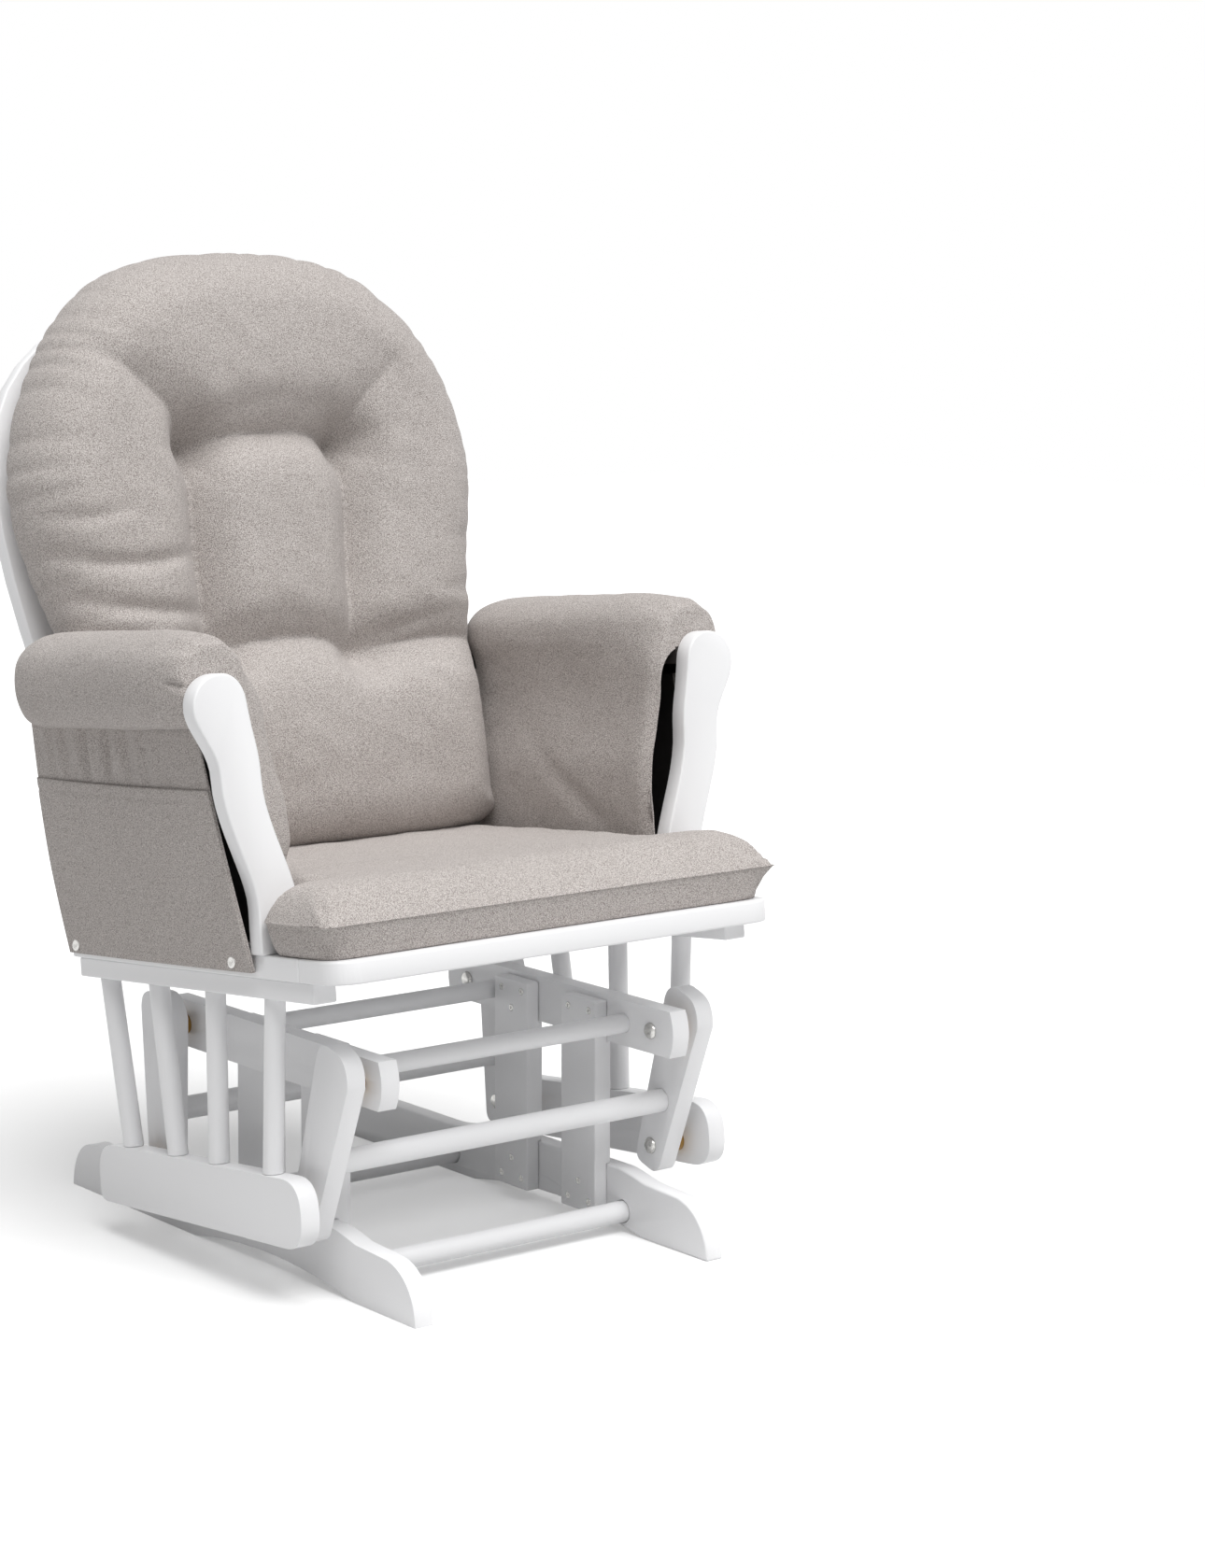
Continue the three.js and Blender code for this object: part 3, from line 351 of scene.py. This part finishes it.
# ---- Seat cushion --------------------------------------------------------------------------------
# A foam block in a sewn cover. A knife-edge seam runs round it, its two front corners stand out as
# small points, and ears fill the corners in front of the arm posts. Sizes here are in millimetres in
# the seat's own directions: x across, s rearwards from the frame's front edge, t up from its underside.
seat_tilt = math.radians(5.9724)
pivot_in_seat = (418.4, -215.8)
pivot = next(joint for joint in frame["joints"] if joint["name"] == "seat_swing")["pos_m"]
seat_depth = 493.3
seat_frame_top = 22.8


def in_seat(x, s, t):
    """Points in metres for seat coordinates in mm: turned by the tilt about the rear lower pivot."""
    along = s - pivot_in_seat[0]
    up = t - pivot_in_seat[1]
    y = pivot[1] + (along * math.cos(seat_tilt) + up * math.sin(seat_tilt)) / 1000
    z = pivot[2] + (up * math.cos(seat_tilt) - along * math.sin(seat_tilt)) / 1000
    return np.stack([x / 1000 + 0 * y, y, z], axis=-1)


def rounded_outline(corners, spacing):
    """A closed outline through corners (x, y, radius), each rounded by a quadratic curve."""
    points = np.array([corner[:2] for corner in corners], float)
    radii = np.array([corner[2] for corner in corners], float)[:, None]
    before = np.roll(points, 1, axis=0) - points
    after = np.roll(points, -1, axis=0) - points
    start = points + before / np.linalg.norm(before, axis=1, keepdims=True) * radii
    end = points + after / np.linalg.norm(after, axis=1, keepdims=True) * radii
    share = np.linspace(0, 1, 9)[None, :, None]
    arcs = ((1 - share) ** 2 * start[:, None] + 2 * share * (1 - share) * points[:, None]
            + share ** 2 * end[:, None])
    return resampled(arcs.reshape(-1, 2), spacing)


def resampled(line, spacing):
    """A closed line cut into equal steps of about the given spacing."""
    closed = np.vstack([line, line[:1]])
    travel = np.concatenate([[0], np.cumsum(np.linalg.norm(np.diff(closed, axis=0), axis=1))])
    count = int(round(travel[-1] / spacing))
    steps = np.linspace(0, travel[-1], count, endpoint=False)
    return np.stack([np.interp(steps, travel, closed[:, k]) for k in range(2)], axis=-1)


def distance_to(points, starts, ends):
    """Each point's distance to a set of segments, with the nearest segment and the place on it."""
    span = ends - starts
    offset = points[:, None] - starts[None]
    share = np.clip((offset * span).sum(-1) / np.maximum((span ** 2).sum(-1), 1e-9), 0, 1)
    gap = np.linalg.norm(offset - share[..., None] * span, axis=-1)
    nearest = gap.argmin(axis=1)
    rows = np.arange(len(points))
    return gap[rows, nearest], nearest, share[rows, nearest]


def edge_distance(grid, outline):
    """Distance of each point of a grid from a closed outline, row by row to keep the arrays small."""
    ends = np.roll(outline, -1, axis=0)
    return np.array([distance_to(row, outline, ends)[0] for row in grid])


def bell(value, width):
    """A bell curve: 1 at zero, falling off over the given width."""
    return np.exp(-(value / width) ** 2)


def quarter_round(distance, length):
    """Rises from 0 to 1 over a length, as the side of a quarter circle does."""
    return np.sqrt(np.clip(1 - (1 - np.clip(distance / length, 0, 1)) ** 2, 0, 1))


def shell(name, grid, material, closed=True):
    """A mesh of quads over a grid. A closed one joins round its rows, and its poles are merged."""
    rows, columns = grid.shape[:2]
    index = np.arange(rows * columns).reshape(rows, columns)
    right = np.roll(index, -1, axis=1) if closed else index[:, 1:]
    left = index if closed else index[:, :-1]
    faces = np.stack([left[:-1], right[:-1], right[1:], left[1:]], axis=-1).reshape(-1, 4)
    return made_piece(name, grid.reshape(-1, 3), faces, material, merge=0.00002 if closed else 0.0)


def soft_noise(points, size, seed):
    """Smooth seeded noise from -1 to 1 over (x, y, z) points: a sum of waves in random directions."""
    random = np.random.default_rng(seed)
    waves = random.normal(size=(14, 3))
    waves /= np.linalg.norm(waves, axis=1, keepdims=True)
    waves *= random.uniform(0.7, 1.4, size=(14, 1)) * 2 * math.pi / size
    phases = random.uniform(0, 2 * math.pi, 14)
    return np.sin(points @ waves.T + phases).sum(-1) / 14 ** 0.5 / 1.4


def pebbled_fabric(name, dark, light):
    """Polyester upholstery with a pebbled face: low grains about 1 mm wide, with their gaps painted darker than
    their tops as painted shade.

    The grains catch the light one by one, the pile is matt, and the colour drifts a little."""
    material, tree = new_material(name)
    place = add_node(tree, "ShaderNodeTexCoord")
    drift = add_node(tree, "ShaderNodeTexNoise", Vector=place.outputs["Object"], Scale=900.0, Detail=2.0)
    bend = add_node(tree, "ShaderNodeVectorMath", {"operation": "MULTIPLY_ADD"},
                    in_0=drift.outputs["Color"], in_1=(0.0007, 0.0007, 0.0007),
                    in_2=place.outputs["Object"])
    grains = add_node(tree, "ShaderNodeTexVoronoi", {"feature": "F1"}, Vector=bend.outputs[0],
                      Scale=930.0)
    worms = add_node(tree, "ShaderNodeTexNoise", Vector=place.outputs["Object"], Scale=1350.0, Detail=2.0,
                     Roughness=0.6)
    height = add_node(tree, "ShaderNodeMath", {"operation": "SUBTRACT"}, in_0=worms.outputs[0],
                      in_1=grains.outputs["Distance"])
    # The tone follows the grains' height: the gaps between grains are painted darker as painted shade, and the
    # tops paler.
    face = add_node(tree, "ShaderNodeMapRange", Value=height.outputs[0], From_Min=-0.22, From_Max=0.34)
    wash = add_node(tree, "ShaderNodeTexNoise", Vector=place.outputs["Object"], Scale=14.0, Detail=2.0)
    soft = add_node(tree, "ShaderNodeMapRange", Value=wash.outputs[0], To_Min=-0.05, To_Max=0.05)
    mixed = add_node(tree, "ShaderNodeMath", {"operation": "ADD", "use_clamp": True},
                     in_0=face.outputs[0], in_1=soft.outputs[0])
    tone = add_node(tree, "ShaderNodeMix", {"data_type": "RGBA"}, Factor=mixed.outputs[0],
                    in_6=linear(dark), in_7=linear(light))
    bump = add_node(tree, "ShaderNodeBump", Strength=0.8, Distance=0.0005, Height=height.outputs[0])
    shader = add_node(tree, "ShaderNodeBsdfPrincipled", Base_Color=tone.outputs[2], Roughness=0.88,
                      Normal=bump.outputs[0])
    shader.inputs["Specular IOR Level"].default_value = 0.25
    shader.inputs["Sheen Weight"].default_value = 0.12
    shader.inputs["Sheen Roughness"].default_value = 0.5
    add_node(tree, "ShaderNodeOutputMaterial", Surface=shader.outputs[0])
    return material


grey_fabric = pebbled_fabric("pebbled_grey_fabric", "#9B938F", "#E0DAD6")

seam_height = 56.0
crown_height = 35.0
dome_rise = 5.0
dome_reach = 90.0
resting_gap = 0.4
cushion_foot = seat_frame_top + resting_gap
right_half = [(278, 1, 5), (282, 62, 40), (279, 119, 16), (219, 121, 8), (221, 478, 16)]
front_middle = [(0, 7, 190)]
cushion_corners = right_half + [(-x, s, radius) for x, s, radius in reversed(right_half)] + front_middle
outline_step = 4.5
outline = rounded_outline(cushion_corners, outline_step)
outline_ends = np.roll(outline, -1, axis=0)

# The seam stands out as a thin lip. Each side of the outline has its own reach, the way in from the seam
# to the full crown, and it is longest at the front.
seam_sides = [((0, 6), (278, 1), 56), ((278, 1), (279, 119), 34), ((279, 119), (219, 121), 30),
              ((219, 121), (221, 478), 20), ((221, 478), (-221, 478), 14), ((-221, 478), (-219, 121), 20),
              ((-219, 121), (-279, 119), 30), ((-279, 119), (-278, 1), 34), ((-278, 1), (0, 6), 56)]
side_starts = np.array([side[0] for side in seam_sides], float)
side_ends = np.array([side[1] for side in seam_sides], float)
side_of_edge = distance_to((outline + outline_ends) / 2, side_starts, side_ends)[1]
ring_count = 52
middle = np.array([0.0, 92.0])
ring_share = np.sin(np.linspace(0, math.pi / 2, ring_count))[:, None, None]
plan = middle + ring_share * (outline[None] - middle)
inward = edge_distance(plan, outline)
crowding = 0 * inward
blend_power = 4.0
for number, (start, end, reach) in enumerate(seam_sides):
    edges = side_of_edge == number
    gap = np.array([distance_to(row, outline[edges], outline_ends[edges])[0] for row in plan])
    crowding += (np.maximum(gap, 1e-3) / reach) ** -blend_power
rise = np.clip(crowding ** (-1 / blend_power), 0, 1)
swell = 1 - (1 - rise) ** 2.1
flat_points = np.concatenate([plan, np.zeros_like(plan[..., :1])], axis=-1)
crown = crown_height * swell + dome_rise * (1 - np.exp(-inward / dome_reach))
crown += swell * (1.3 * soft_noise(flat_points, 95, 3) + 0.6 * soft_noise(flat_points, 34, 4))

# At each front corner small puckers fan out from the tip, the crown sinks to it, and a crease runs in.
tip_x, tip_s = 278, 1
for tip in ((tip_x, tip_s), (-tip_x, tip_s)):
    gap = np.linalg.norm(plan - tip, axis=-1)
    bearing = np.arctan2(plan[..., 1] - tip[1], np.sign(tip[0]) * (tip[0] - plan[..., 0]))
    crown -= 2.6 * np.cos(11 * bearing) * bell(gap - 22, 15) * np.clip(inward / 5, 0, 1)
    crown -= 5.0 * bell(gap, 24)
    crease = np.abs(plan[..., 1] - 13 - 0.12 * gap)
    crown -= 3.2 * bell(crease, 4.5) * bell(gap - 26, 20)
top = in_seat(plan[..., 0], plan[..., 1], seam_height + np.maximum(crown, 0))

# Under the seam a lower panel goes down and in to the foot, and it is rounder than the seam at the tips.
lip_width = 1.6
panel_depth = 12
panel = np.clip((inward - lip_width) / panel_depth, 0, 1)
under_t = seam_height - (seam_height - cushion_foot) * (1 - (1 - panel) ** 1.7)
tip_gap = np.hypot(np.abs(plan[..., 0]) - tip_x, plan[..., 1] - tip_s)
tuck = 11 * bell(tip_gap, 22) * np.clip(2.5 * panel, 0, 1)
under = in_seat(plan[..., 0] - np.sign(plan[..., 0]) * tuck, plan[..., 1] + tuck, under_t)[::-1][1:]
seat_cushion = shell("seat_cushion_cover", np.concatenate([top, under]), grey_fabric)
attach(seat_cushion, "seat")
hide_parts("seat_cushion")

# ---- Back cushion --------------------------------------------------------------------------------
# A thick loose-filled pad that leans on the hoop. Four tufts are drawn through it, with sewn channels
# between them that frame a middle panel, and more that run out to the upper corners and the sides.
# Sizes are in the back's own directions: x across, h up the hoop's plane, d forwards from its front.
back_lean = math.radians(8.4)


def in_back(x, h, d):
    """Points in metres for back coordinates in mm: turned by the hoop's lean, then set in the seat."""
    s = seat_depth + h * math.sin(back_lean) - d * math.cos(back_lean)
    t = h * math.cos(back_lean) + d * math.sin(back_lean)
    return in_seat(x, s, t)


def smooth_line(knots, per_span):
    """A Catmull-Rom curve through knots: each span is the usual cubic of its four neighbouring knots."""
    knots = np.array(knots, float)
    padded = np.vstack([2 * knots[0] - knots[1], knots, 2 * knots[-1] - knots[-2]])
    a, b, c, d = (padded[k:len(padded) - 3 + k, None] for k in range(4))
    u = np.linspace(0, 1, per_span, endpoint=False)[None, :, None]
    bent = (2 * a - 5 * b + 4 * c - d) * u ** 2
    curve = 0.5 * (2 * b + (c - a) * u + bent + (3 * b - a - 3 * c + d) * u ** 3)
    return np.vstack([curve.reshape(-1, knots.shape[1]), knots[-1:]])


back_half = [(0, 744), (86, 738), (160, 714), (216, 666), (250, 616), (274, 566), (289, 510), (291, 470),
             (284, 422), (265, 345), (253, 275), (249, 203), (245, 128), (236, 86), (140, 75), (0, 76)]
right_edge = smooth_line(back_half, 12)
left_edge = (right_edge * (-1, 1))[::-1]
right_slump = 11 * np.clip((600 - right_edge[:, 1]) / 150, 0, 1) * np.clip(right_edge[:, 0] / 200, 0, 1)
right_edge[:, 0] -= right_slump
outline_step = 4.0
outline = resampled(np.vstack([right_edge[:-1], left_edge[:-1]]), outline_step)
travel = np.arange(len(outline)) * outline_step
edge_normal = np.roll(outline, -1, axis=0) - np.roll(outline, 1, axis=0)
edge_normal = edge_normal[:, ::-1] * (1, -1) / np.linalg.norm(edge_normal, axis=1, keepdims=True)

# The seam is gathered: small bulges about 34 mm apart, uneven in width, and weaker low down.
gather_phase = travel / 34 + 0.55 * np.sin(travel / 61) + 0.3 * np.sin(travel / 23)
gather = np.abs(np.sin(math.pi * gather_phase)) ** 0.6
gather_weight = np.clip((outline[:, 1] - 120) / 300, 0, 1) * (0.75 + 0.35 * np.sin(travel / 87))
outward = np.sign((edge_normal * (outline - (0, 400))).sum(-1)).mean()
outline = outline + outward * edge_normal * ((gather - 0.8) * 2.6 * gather_weight)[:, None]

ring_count = 128
middle = np.array([0.0, 400.0])
ring_share = np.sin(np.linspace(0, math.pi / 2, ring_count))[:, None, None]
plan = middle + ring_share * (outline[None] - middle)
inward = edge_distance(plan, outline)
x, h = plan[..., 0], plan[..., 1]

# Each channel is a line with its pull at its two ends. Each fold has its reach to the sides as well.
tufts = np.array([(-94, 522), (97, 518), (-106, 296), (75, 286)], float)
channels = [
    ([(-94, 522), (-99, 470), (-103, 420), (-105, 350), (-106, 296)], 1.0, 1.0),
    ([(97, 518), (98, 470), (92, 420), (82, 350), (75, 286)], 0.85, 0.95),
    ([(-94, 522), (-70, 527), (-30, 532), (30, 532), (74, 527), (97, 518)], 0.75, 0.75),
    ([(-106, 296), (-60, 303), (-10, 306), (40, 299), (75, 286)], 0.8, 0.85),
    ([(-94, 522), (-117, 556), (-158, 592), (-206, 626), (-236, 646)], 0.65, 0.0),
    ([(97, 518), (117, 556), (150, 590), (190, 622)], 0.45, 0.0),
    ([(75, 286), (120, 290), (175, 293), (244, 289)], 0.95, 0.8),
    ([(-106, 296), (-150, 294), (-195, 291), (-252, 288)], 0.8, 0.6),
]
folds = [
    ([(75, 284), (122, 264), (160, 240), (182, 206)], 0.6, 0.1, 12),
    ([(79, 285), (150, 270), (208, 257)], 0.65, 0.2, 9),
    ([(79, 290), (145, 310), (210, 321)], 0.6, 0.1, 9),
    ([(-106, 294), (-146, 270), (-180, 240)], 0.5, 0.1, 11),
    ([(-94, 522), (-100, 560), (-110, 610)], 0.4, 0.0, 16),
    ([(97, 518), (134, 522), (182, 540)], 0.35, 0.0, 16),
    ([(-285, 416), (-240, 400), (-180, 394), (-120, 402)], 0.7, 0.3, 10),
    ([(-272, 372), (-230, 352), (-170, 342), (-110, 340)], 0.5, 0.6, 11),
    ([(-280, 454), (-240, 446), (-190, 452)], 0.5, 0.1, 9),
    ([(-262, 330), (-220, 322), (-180, 326)], 0.4, 0.1, 8),
    ([(280, 420), (240, 404), (190, 402)], 0.45, 0.0, 10),
    ([(262, 352), (226, 342), (180, 346)], 0.4, 0.1, 9),
    ([(-40, 560), (20, 566), (70, 556)], 0.3, 0.3, 18),
]
crease_width = 8
channel_reach = 29
channel_pull = 0.56
fold_pull = 0.19
tuft_pull = 0.30
tuft_reach = 12


def line_pull(points, knots, start_weight, end_weight, reach, sharp):
    """How hard a sewn line draws the pad in, from 0 to 1: a narrow crease plus a broad soft valley."""
    line = smooth_line(knots, 8)
    shape = points.shape[:-1]
    gap, nearest, share = distance_to(points.reshape(-1, 2), line[:-1], line[1:])
    along = (nearest + share) / (len(line) - 1)
    weight = start_weight + (end_weight - start_weight) * along
    pull = sharp * np.exp(-gap / crease_width) + (1 - sharp) * bell(gap, reach)
    return (weight * pull).reshape(shape)


slack = np.ones_like(inward)
for knots, start_weight, end_weight in channels:
    slack *= 1 - channel_pull * line_pull(plan, knots, start_weight, end_weight, channel_reach, 0.36)
for knots, start_weight, end_weight, reach in folds:
    slack *= 1 - fold_pull * line_pull(plan, knots, start_weight, end_weight, reach, 0.3)
for tuft in tufts:
    gap = np.linalg.norm(plan - tuft, axis=-1)
    bearing = np.arctan2(h - tuft[1], x - tuft[0])
    puckers = 0.035 * np.sin(7 * bearing + tuft[0]) * np.exp(-gap / 26) * np.clip(gap / tuft_reach, 0, 1)
    slack *= 1 - tuft_pull * np.exp(-gap / tuft_reach) + puckers

# The seam lies near the hoop at the top, and further forwards where the pad is thick at the bottom.
low = np.clip((400 - h) / 120, 0, 1)
seam_depth = 33 + 27 * low * low * (3 - 2 * low)
edge_reach = 74 - 30 * np.clip((200 - h) / 120, 0, 1)
swell = quarter_round(inward, edge_reach)

# The front stands this far from the hoop where nothing draws it in: most at the belly, and a little
# more at the headrest than between them.
front_reach = 117 + 16 * bell(h - 205, 95) + 6 * bell(h - 640, 70)
ring_gather = (gather - 0.8)[None] * gather_weight[None] * np.exp(-inward / 16)
points3 = np.stack([x, h, 0 * x], axis=-1)
loose = 1.5 * soft_noise(points3, 150, 11) + 0.6 * soft_noise(points3, 48, 12)
front_d = seam_depth + (front_reach - seam_depth) * swell * slack
front_d = front_d + swell * loose + 2.5 * ring_gather * swell
front = in_back(x, h, front_d)
hoop_gap = 1.2
rear_reach = 46
rear_swell = quarter_round(inward, rear_reach)
rear_d = seam_depth - (seam_depth - hoop_gap) * rear_swell
rear_d = rear_d - 1.6 * ring_gather * np.clip(inward / 8, 0, 1)
rear = in_back(x, h, np.maximum(rear_d, hoop_gap))[::-1][1:]
back_cushion = shell("back_cushion_cover", np.concatenate([front, rear]), grey_fabric)
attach(back_cushion, "seat")
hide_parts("back_cushion")

# ---- Arm covers ----------------------------------------------------------------------------------
# Each arm board wears a sewn cover: a thick padded roll that runs on as one cloth down the inner side,
# and a flat outer side with a full-width pocket. The cloth is lined in black, and its front edges are
# turned hems. Two press studs fix the foot of the outer side to the seat frame.
arm_front = 142.0
arm_rear = 494.0
inner_panel_rear = 478.0
roll_centre = (299.0, 288.0)
roll_toe_in = 11
roll_front_round = 105
roll_front_fullness = 0.64
roll_rear_round = 66
roll_rear_fullness = 0.5
inner_section = [(13, -46), (32, -41), (45, -24), (50, 2), (45, 28), (27, 46), (2, 52), (-24, 47),
                 (-43, 30), (-50, 8), (-52, -18), (-54, -53), (-61, -88), (-70, -123), (-73, -158),
                 (-73, -208), (-73, -262)]
roll_share = 0.60
section_length = 491.0
end_part = 0.16
hem_width = 26.0
hem_stitch_gap = 7
stitch_width = 1.6
# How far each inner panel's front edge turns in towards its post, and how far it bows away behind that.
front_turns = {-1: (26, 17), 1: (6, 2)}


def arm_roll(side):
    """The roll and inner side of one arm: a section swept rearwards, with the roll rounded at both ends.

    It returns the grid of points and where each point lies along the arm, for the hem."""
    section = smooth_line(inner_section, 7)
    travel = np.linspace(0, 1, len(section))
    is_roll = 1 / (1 + np.exp((travel - roll_share) / 0.02))
    is_panel = 1 - is_roll[None]
    dense = np.linspace(0, 1, 18)[:-1] ** 1.6 * end_part
    steps = np.concatenate([dense, np.linspace(end_part, 1 - end_part, 36), 1 - dense[::-1]])
    s = arm_front + (arm_rear - arm_front) * steps
    from_front = s[:, None] - arm_front
    front_round = quarter_round(s - arm_front, roll_front_round)
    rear_round = quarter_round(arm_rear - s, roll_rear_round)
    plump = ((roll_front_fullness + (1 - roll_front_fullness) * front_round)
             * (roll_rear_fullness + (1 - roll_rear_fullness) * rear_round))
    scale = 1 - (1 - plump)[:, None] * is_roll[None]
    centre_x = roll_centre[0] - roll_toe_in * (s - arm_front) / (arm_rear - arm_front)
    past = np.clip(s[:, None] - inner_panel_rear, 0, None)
    s_grid = s[:, None] - past * is_panel
    x = centre_x[:, None] + section[None, :, 0] * scale
    x = x + is_panel * (roll_centre[0] - centre_x)[:, None]
    sink = np.where(section[None, :, 1] < 0, 0.35, 0.9)
    t = roll_centre[1] + section[None, :, 1] * (1 - (1 - scale) * sink)

    # A crease runs from the panel's middle down to its front foot. The panel's front edge turns towards
    # the post, its rear flares round the back cushion, and small gathers lie over the post's head.
    crease = -section[None, :, 1] - 120 + 0.62 * (s[:, None] - 330)
    x = x + is_panel * 3.4 * bell(crease, 13) * bell(s[:, None] - 265, 70)
    turn, bow = front_turns[side]
    bow_weight = np.clip((roll_centre[1] + section[None, :, 1] - 85) / 40, 0.3, 1)
    turn_in = turn * np.exp(-(from_front / 9) ** 1.5) - bow * bell(from_front - 16, 18) * bow_weight
    flare = 0.2 * np.clip(s_grid - 440, 0, None)
    x = x + is_panel * (turn_in + flare)
    gathered = np.sin(travel[None] * 74 + s[:, None] / 19) * bell(from_front - 16, 17)
    t = t + 2.2 * gathered * bell(travel[None] - 0.36, 0.12)

    # A short pinch in the roll runs from its outer shoulder to the post's head.
    pinch = (travel[None] - 0.178) * section_length - from_front * 0.30
    pinch = 0.10 * bell(pinch, 3.2) * bell(from_front - 7, 12)
    x = x - pinch * section[None, :, 0]
    t = t - pinch * section[None, :, 1]
    rows = np.stack([x, s_grid, t], axis=-1)

    def cap(row, centre, share):
        weight = (1 - share) * is_roll[:, None]
        return row * (1 - weight) + weight * np.array(centre)

    caps = [0.78, 0.5, 0.25, 0.08, 0.0]
    front_centre = (centre_x[0], arm_front, roll_centre[1] - 8)
    rear_centre = (centre_x[-1], arm_rear, roll_centre[1] - 8)
    front_rows = [cap(rows[0], front_centre, share) for share in reversed(caps)]
    rear_rows = [cap(rows[-1], rear_centre, share) for share in caps]
    rows = np.concatenate([np.array(front_rows), rows, np.array(rear_rows)])
    ripple = 1.1 * soft_noise(rows, 110, 21) + 0.5 * soft_noise(rows, 38, 22)
    rows[..., 0] += ripple * 0.8
    rows[..., 2] += ripple * is_roll[None] * 0.7

    # Two rows of stitches draw the hem down along the panel's front edge.
    along = rows[..., 1] - arm_front
    stitches = bell(along - hem_width, stitch_width)
    stitches = stitches + bell(along - hem_width + hem_stitch_gap, stitch_width)
    rows[..., 0] += 0.9 * stitches * is_panel
    return in_seat(side * rows[..., 0], rows[..., 1], rows[..., 2]), along


black_lining, tree = new_material("black_lining_cloth")
place = add_node(tree, "ShaderNodeTexCoord")
weave = add_node(tree, "ShaderNodeTexNoise", Vector=place.outputs["Object"], Scale=900.0, Detail=1.0)
bump = add_node(tree, "ShaderNodeBump", Strength=0.3, Distance=0.0003, Height=weave.outputs[0])
shader = add_node(tree, "ShaderNodeBsdfPrincipled", Base_Color=linear("#24201F"), Roughness=0.9,
                  Normal=bump.outputs[0])
add_node(tree, "ShaderNodeOutputMaterial", Surface=shader.outputs[0])


def lined(piece, thickness, hem):
    """Gives a cloth its thickness on the inside, black but for its hem, which has the face's own fabric.

    Slots are face, lining, face, face: the inside takes the slot after its face's, 1 or in the hem 3."""
    for material in (black_lining, grey_fabric, grey_fabric):
        piece.data.materials.append(material)
    mesh = piece.data
    corners = np.zeros(len(mesh.loops), int)
    mesh.loops.foreach_get("vertex_index", corners)
    firsts = np.zeros(len(mesh.polygons), int)
    mesh.polygons.foreach_get("loop_start", firsts)
    in_hem = hem.reshape(-1)[corners[firsts]]
    mesh.polygons.foreach_set("material_index", np.where(in_hem, 2, 0).astype(np.int32))
    wall = piece.modifiers.new("thickness", "SOLIDIFY")
    wall.thickness = thickness
    wall.offset = -1
    wall.use_even_offset = False
    wall.material_offset = 1
    wall.material_offset_rim = 0


outer_foot = (276.6, 6.0)
outer_top = (307.0, 246.0)
outer_bow = 5
outer_tuck_top = 252.0
outer_rear = 488
outer_hem_width = 14
pocket_hem_t = 184.0
pocket_gap = 2.2
pocket_puff = 2.5
hem_lift = 7.0


def outer_share(t):
    """How high up the outer side a height lies: 0 at its foot and 1 at its top."""
    return (t - outer_foot[1]) / (outer_top[1] - outer_foot[1])


def outer_line(t):
    """How far out the outer side lies at a height: a lean from foot to top, with a slight bow."""
    share = outer_share(t)
    return outer_foot[0] + (outer_top[0] - outer_foot[0]) * share + outer_bow * np.sin(math.pi * share)


def outer_side(t_range, rows, offset, side, puff):
    """The outer side of an arm or its pocket: a cloth from the seat frame up, gathered under the roll.

    It returns the grid of points and where each point lies behind the front edge."""
    t = np.linspace(*t_range, rows)[:, None]
    share = outer_share(t)
    front_edge = 137 + 7 * share + 24 * share ** 2
    along = np.linspace(0, 1, 110)[None]
    s = front_edge + (outer_rear - front_edge) * along
    x = outer_line(t)
    belly = puff * np.sin(math.pi * along) ** 0.6 * np.clip((t_range[1] - t) / 60, 0.45, 1)
    gathers = np.sin(s / 5.6 + 1.5 * np.sin(s / 37)) + 0.4 * np.sin(s / 3.3 + 2 * np.sin(s / 47))
    gathers = 4.2 * gathers * bell(t - 222, 30) * bell(s - 370, 100)
    stitches = -0.8 * bell(t_range[1] - 11 - t, 1.5) * (puff > 0)
    hem_stitches = -0.7 * bell(s - front_edge - outer_hem_width, 1.5)
    t = t + hem_lift * np.clip((t - 100) / 83, 0, 1) * (puff > 0) * along ** 2
    x = x + offset + belly + gathers * np.sin(math.pi * along) ** 0.5 + stitches + hem_stitches
    return in_seat(side * x, s, t + 0 * s), s - front_edge


stud_profile = [(0, -1.2), (5.8, -1.2), (6.6, -0.2), (6.3, 0.9), (4.9, 1.5), (2.8, 1.2), (1.6, 0.4),
                (0, 0.35)]
stud_places = ((167.5, 15.5), (469.0, 15.0))
stud_standoff = 3.4
for side_name, side in (("left", -1), ("right", 1)):
    roll_grid, roll_along = arm_roll(side)
    outer_grid, outer_along = outer_side((outer_foot[1], outer_tuck_top), 100, 0, side, 0)
    pocket_grid, pocket_along = outer_side((outer_foot[1], pocket_hem_t), 80, pocket_gap, side,
                                           pocket_puff)
    pieces = ((f"arm_roll_{side_name}", roll_grid, roll_along < hem_width, 0.003),
              (f"arm_outer_side_{side_name}", outer_grid, outer_along < outer_hem_width, 0.002),
              (f"arm_pocket_{side_name}", pocket_grid, pocket_along >= 0, 0.0018))
    for name, grid, hem, wall in pieces:
        piece = shell(name, grid, grey_fabric, closed=False)
        facing = np.array([face.normal.x for face in piece.data.polygons]).mean()
        if facing * (1 if "outer" in name or "pocket" in name else -1) * side < 0:
            piece.data.flip_normals()
        lined(piece, wall, hem)
        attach(piece, "seat")
        if "roll" in name:
            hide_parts(f"arm_cover_{side_name}")

    # The studs' places lie on the outer side's cloth, near its foot.
    places = [in_seat(side * (outer_line(t) + stud_standoff), s, t).tolist() for s, t in stud_places]
    studs = turned(f"arm_studs_{side_name}", stud_profile, places, (side, 0, 0.12), nickel_plate)
    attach(studs, "seat")
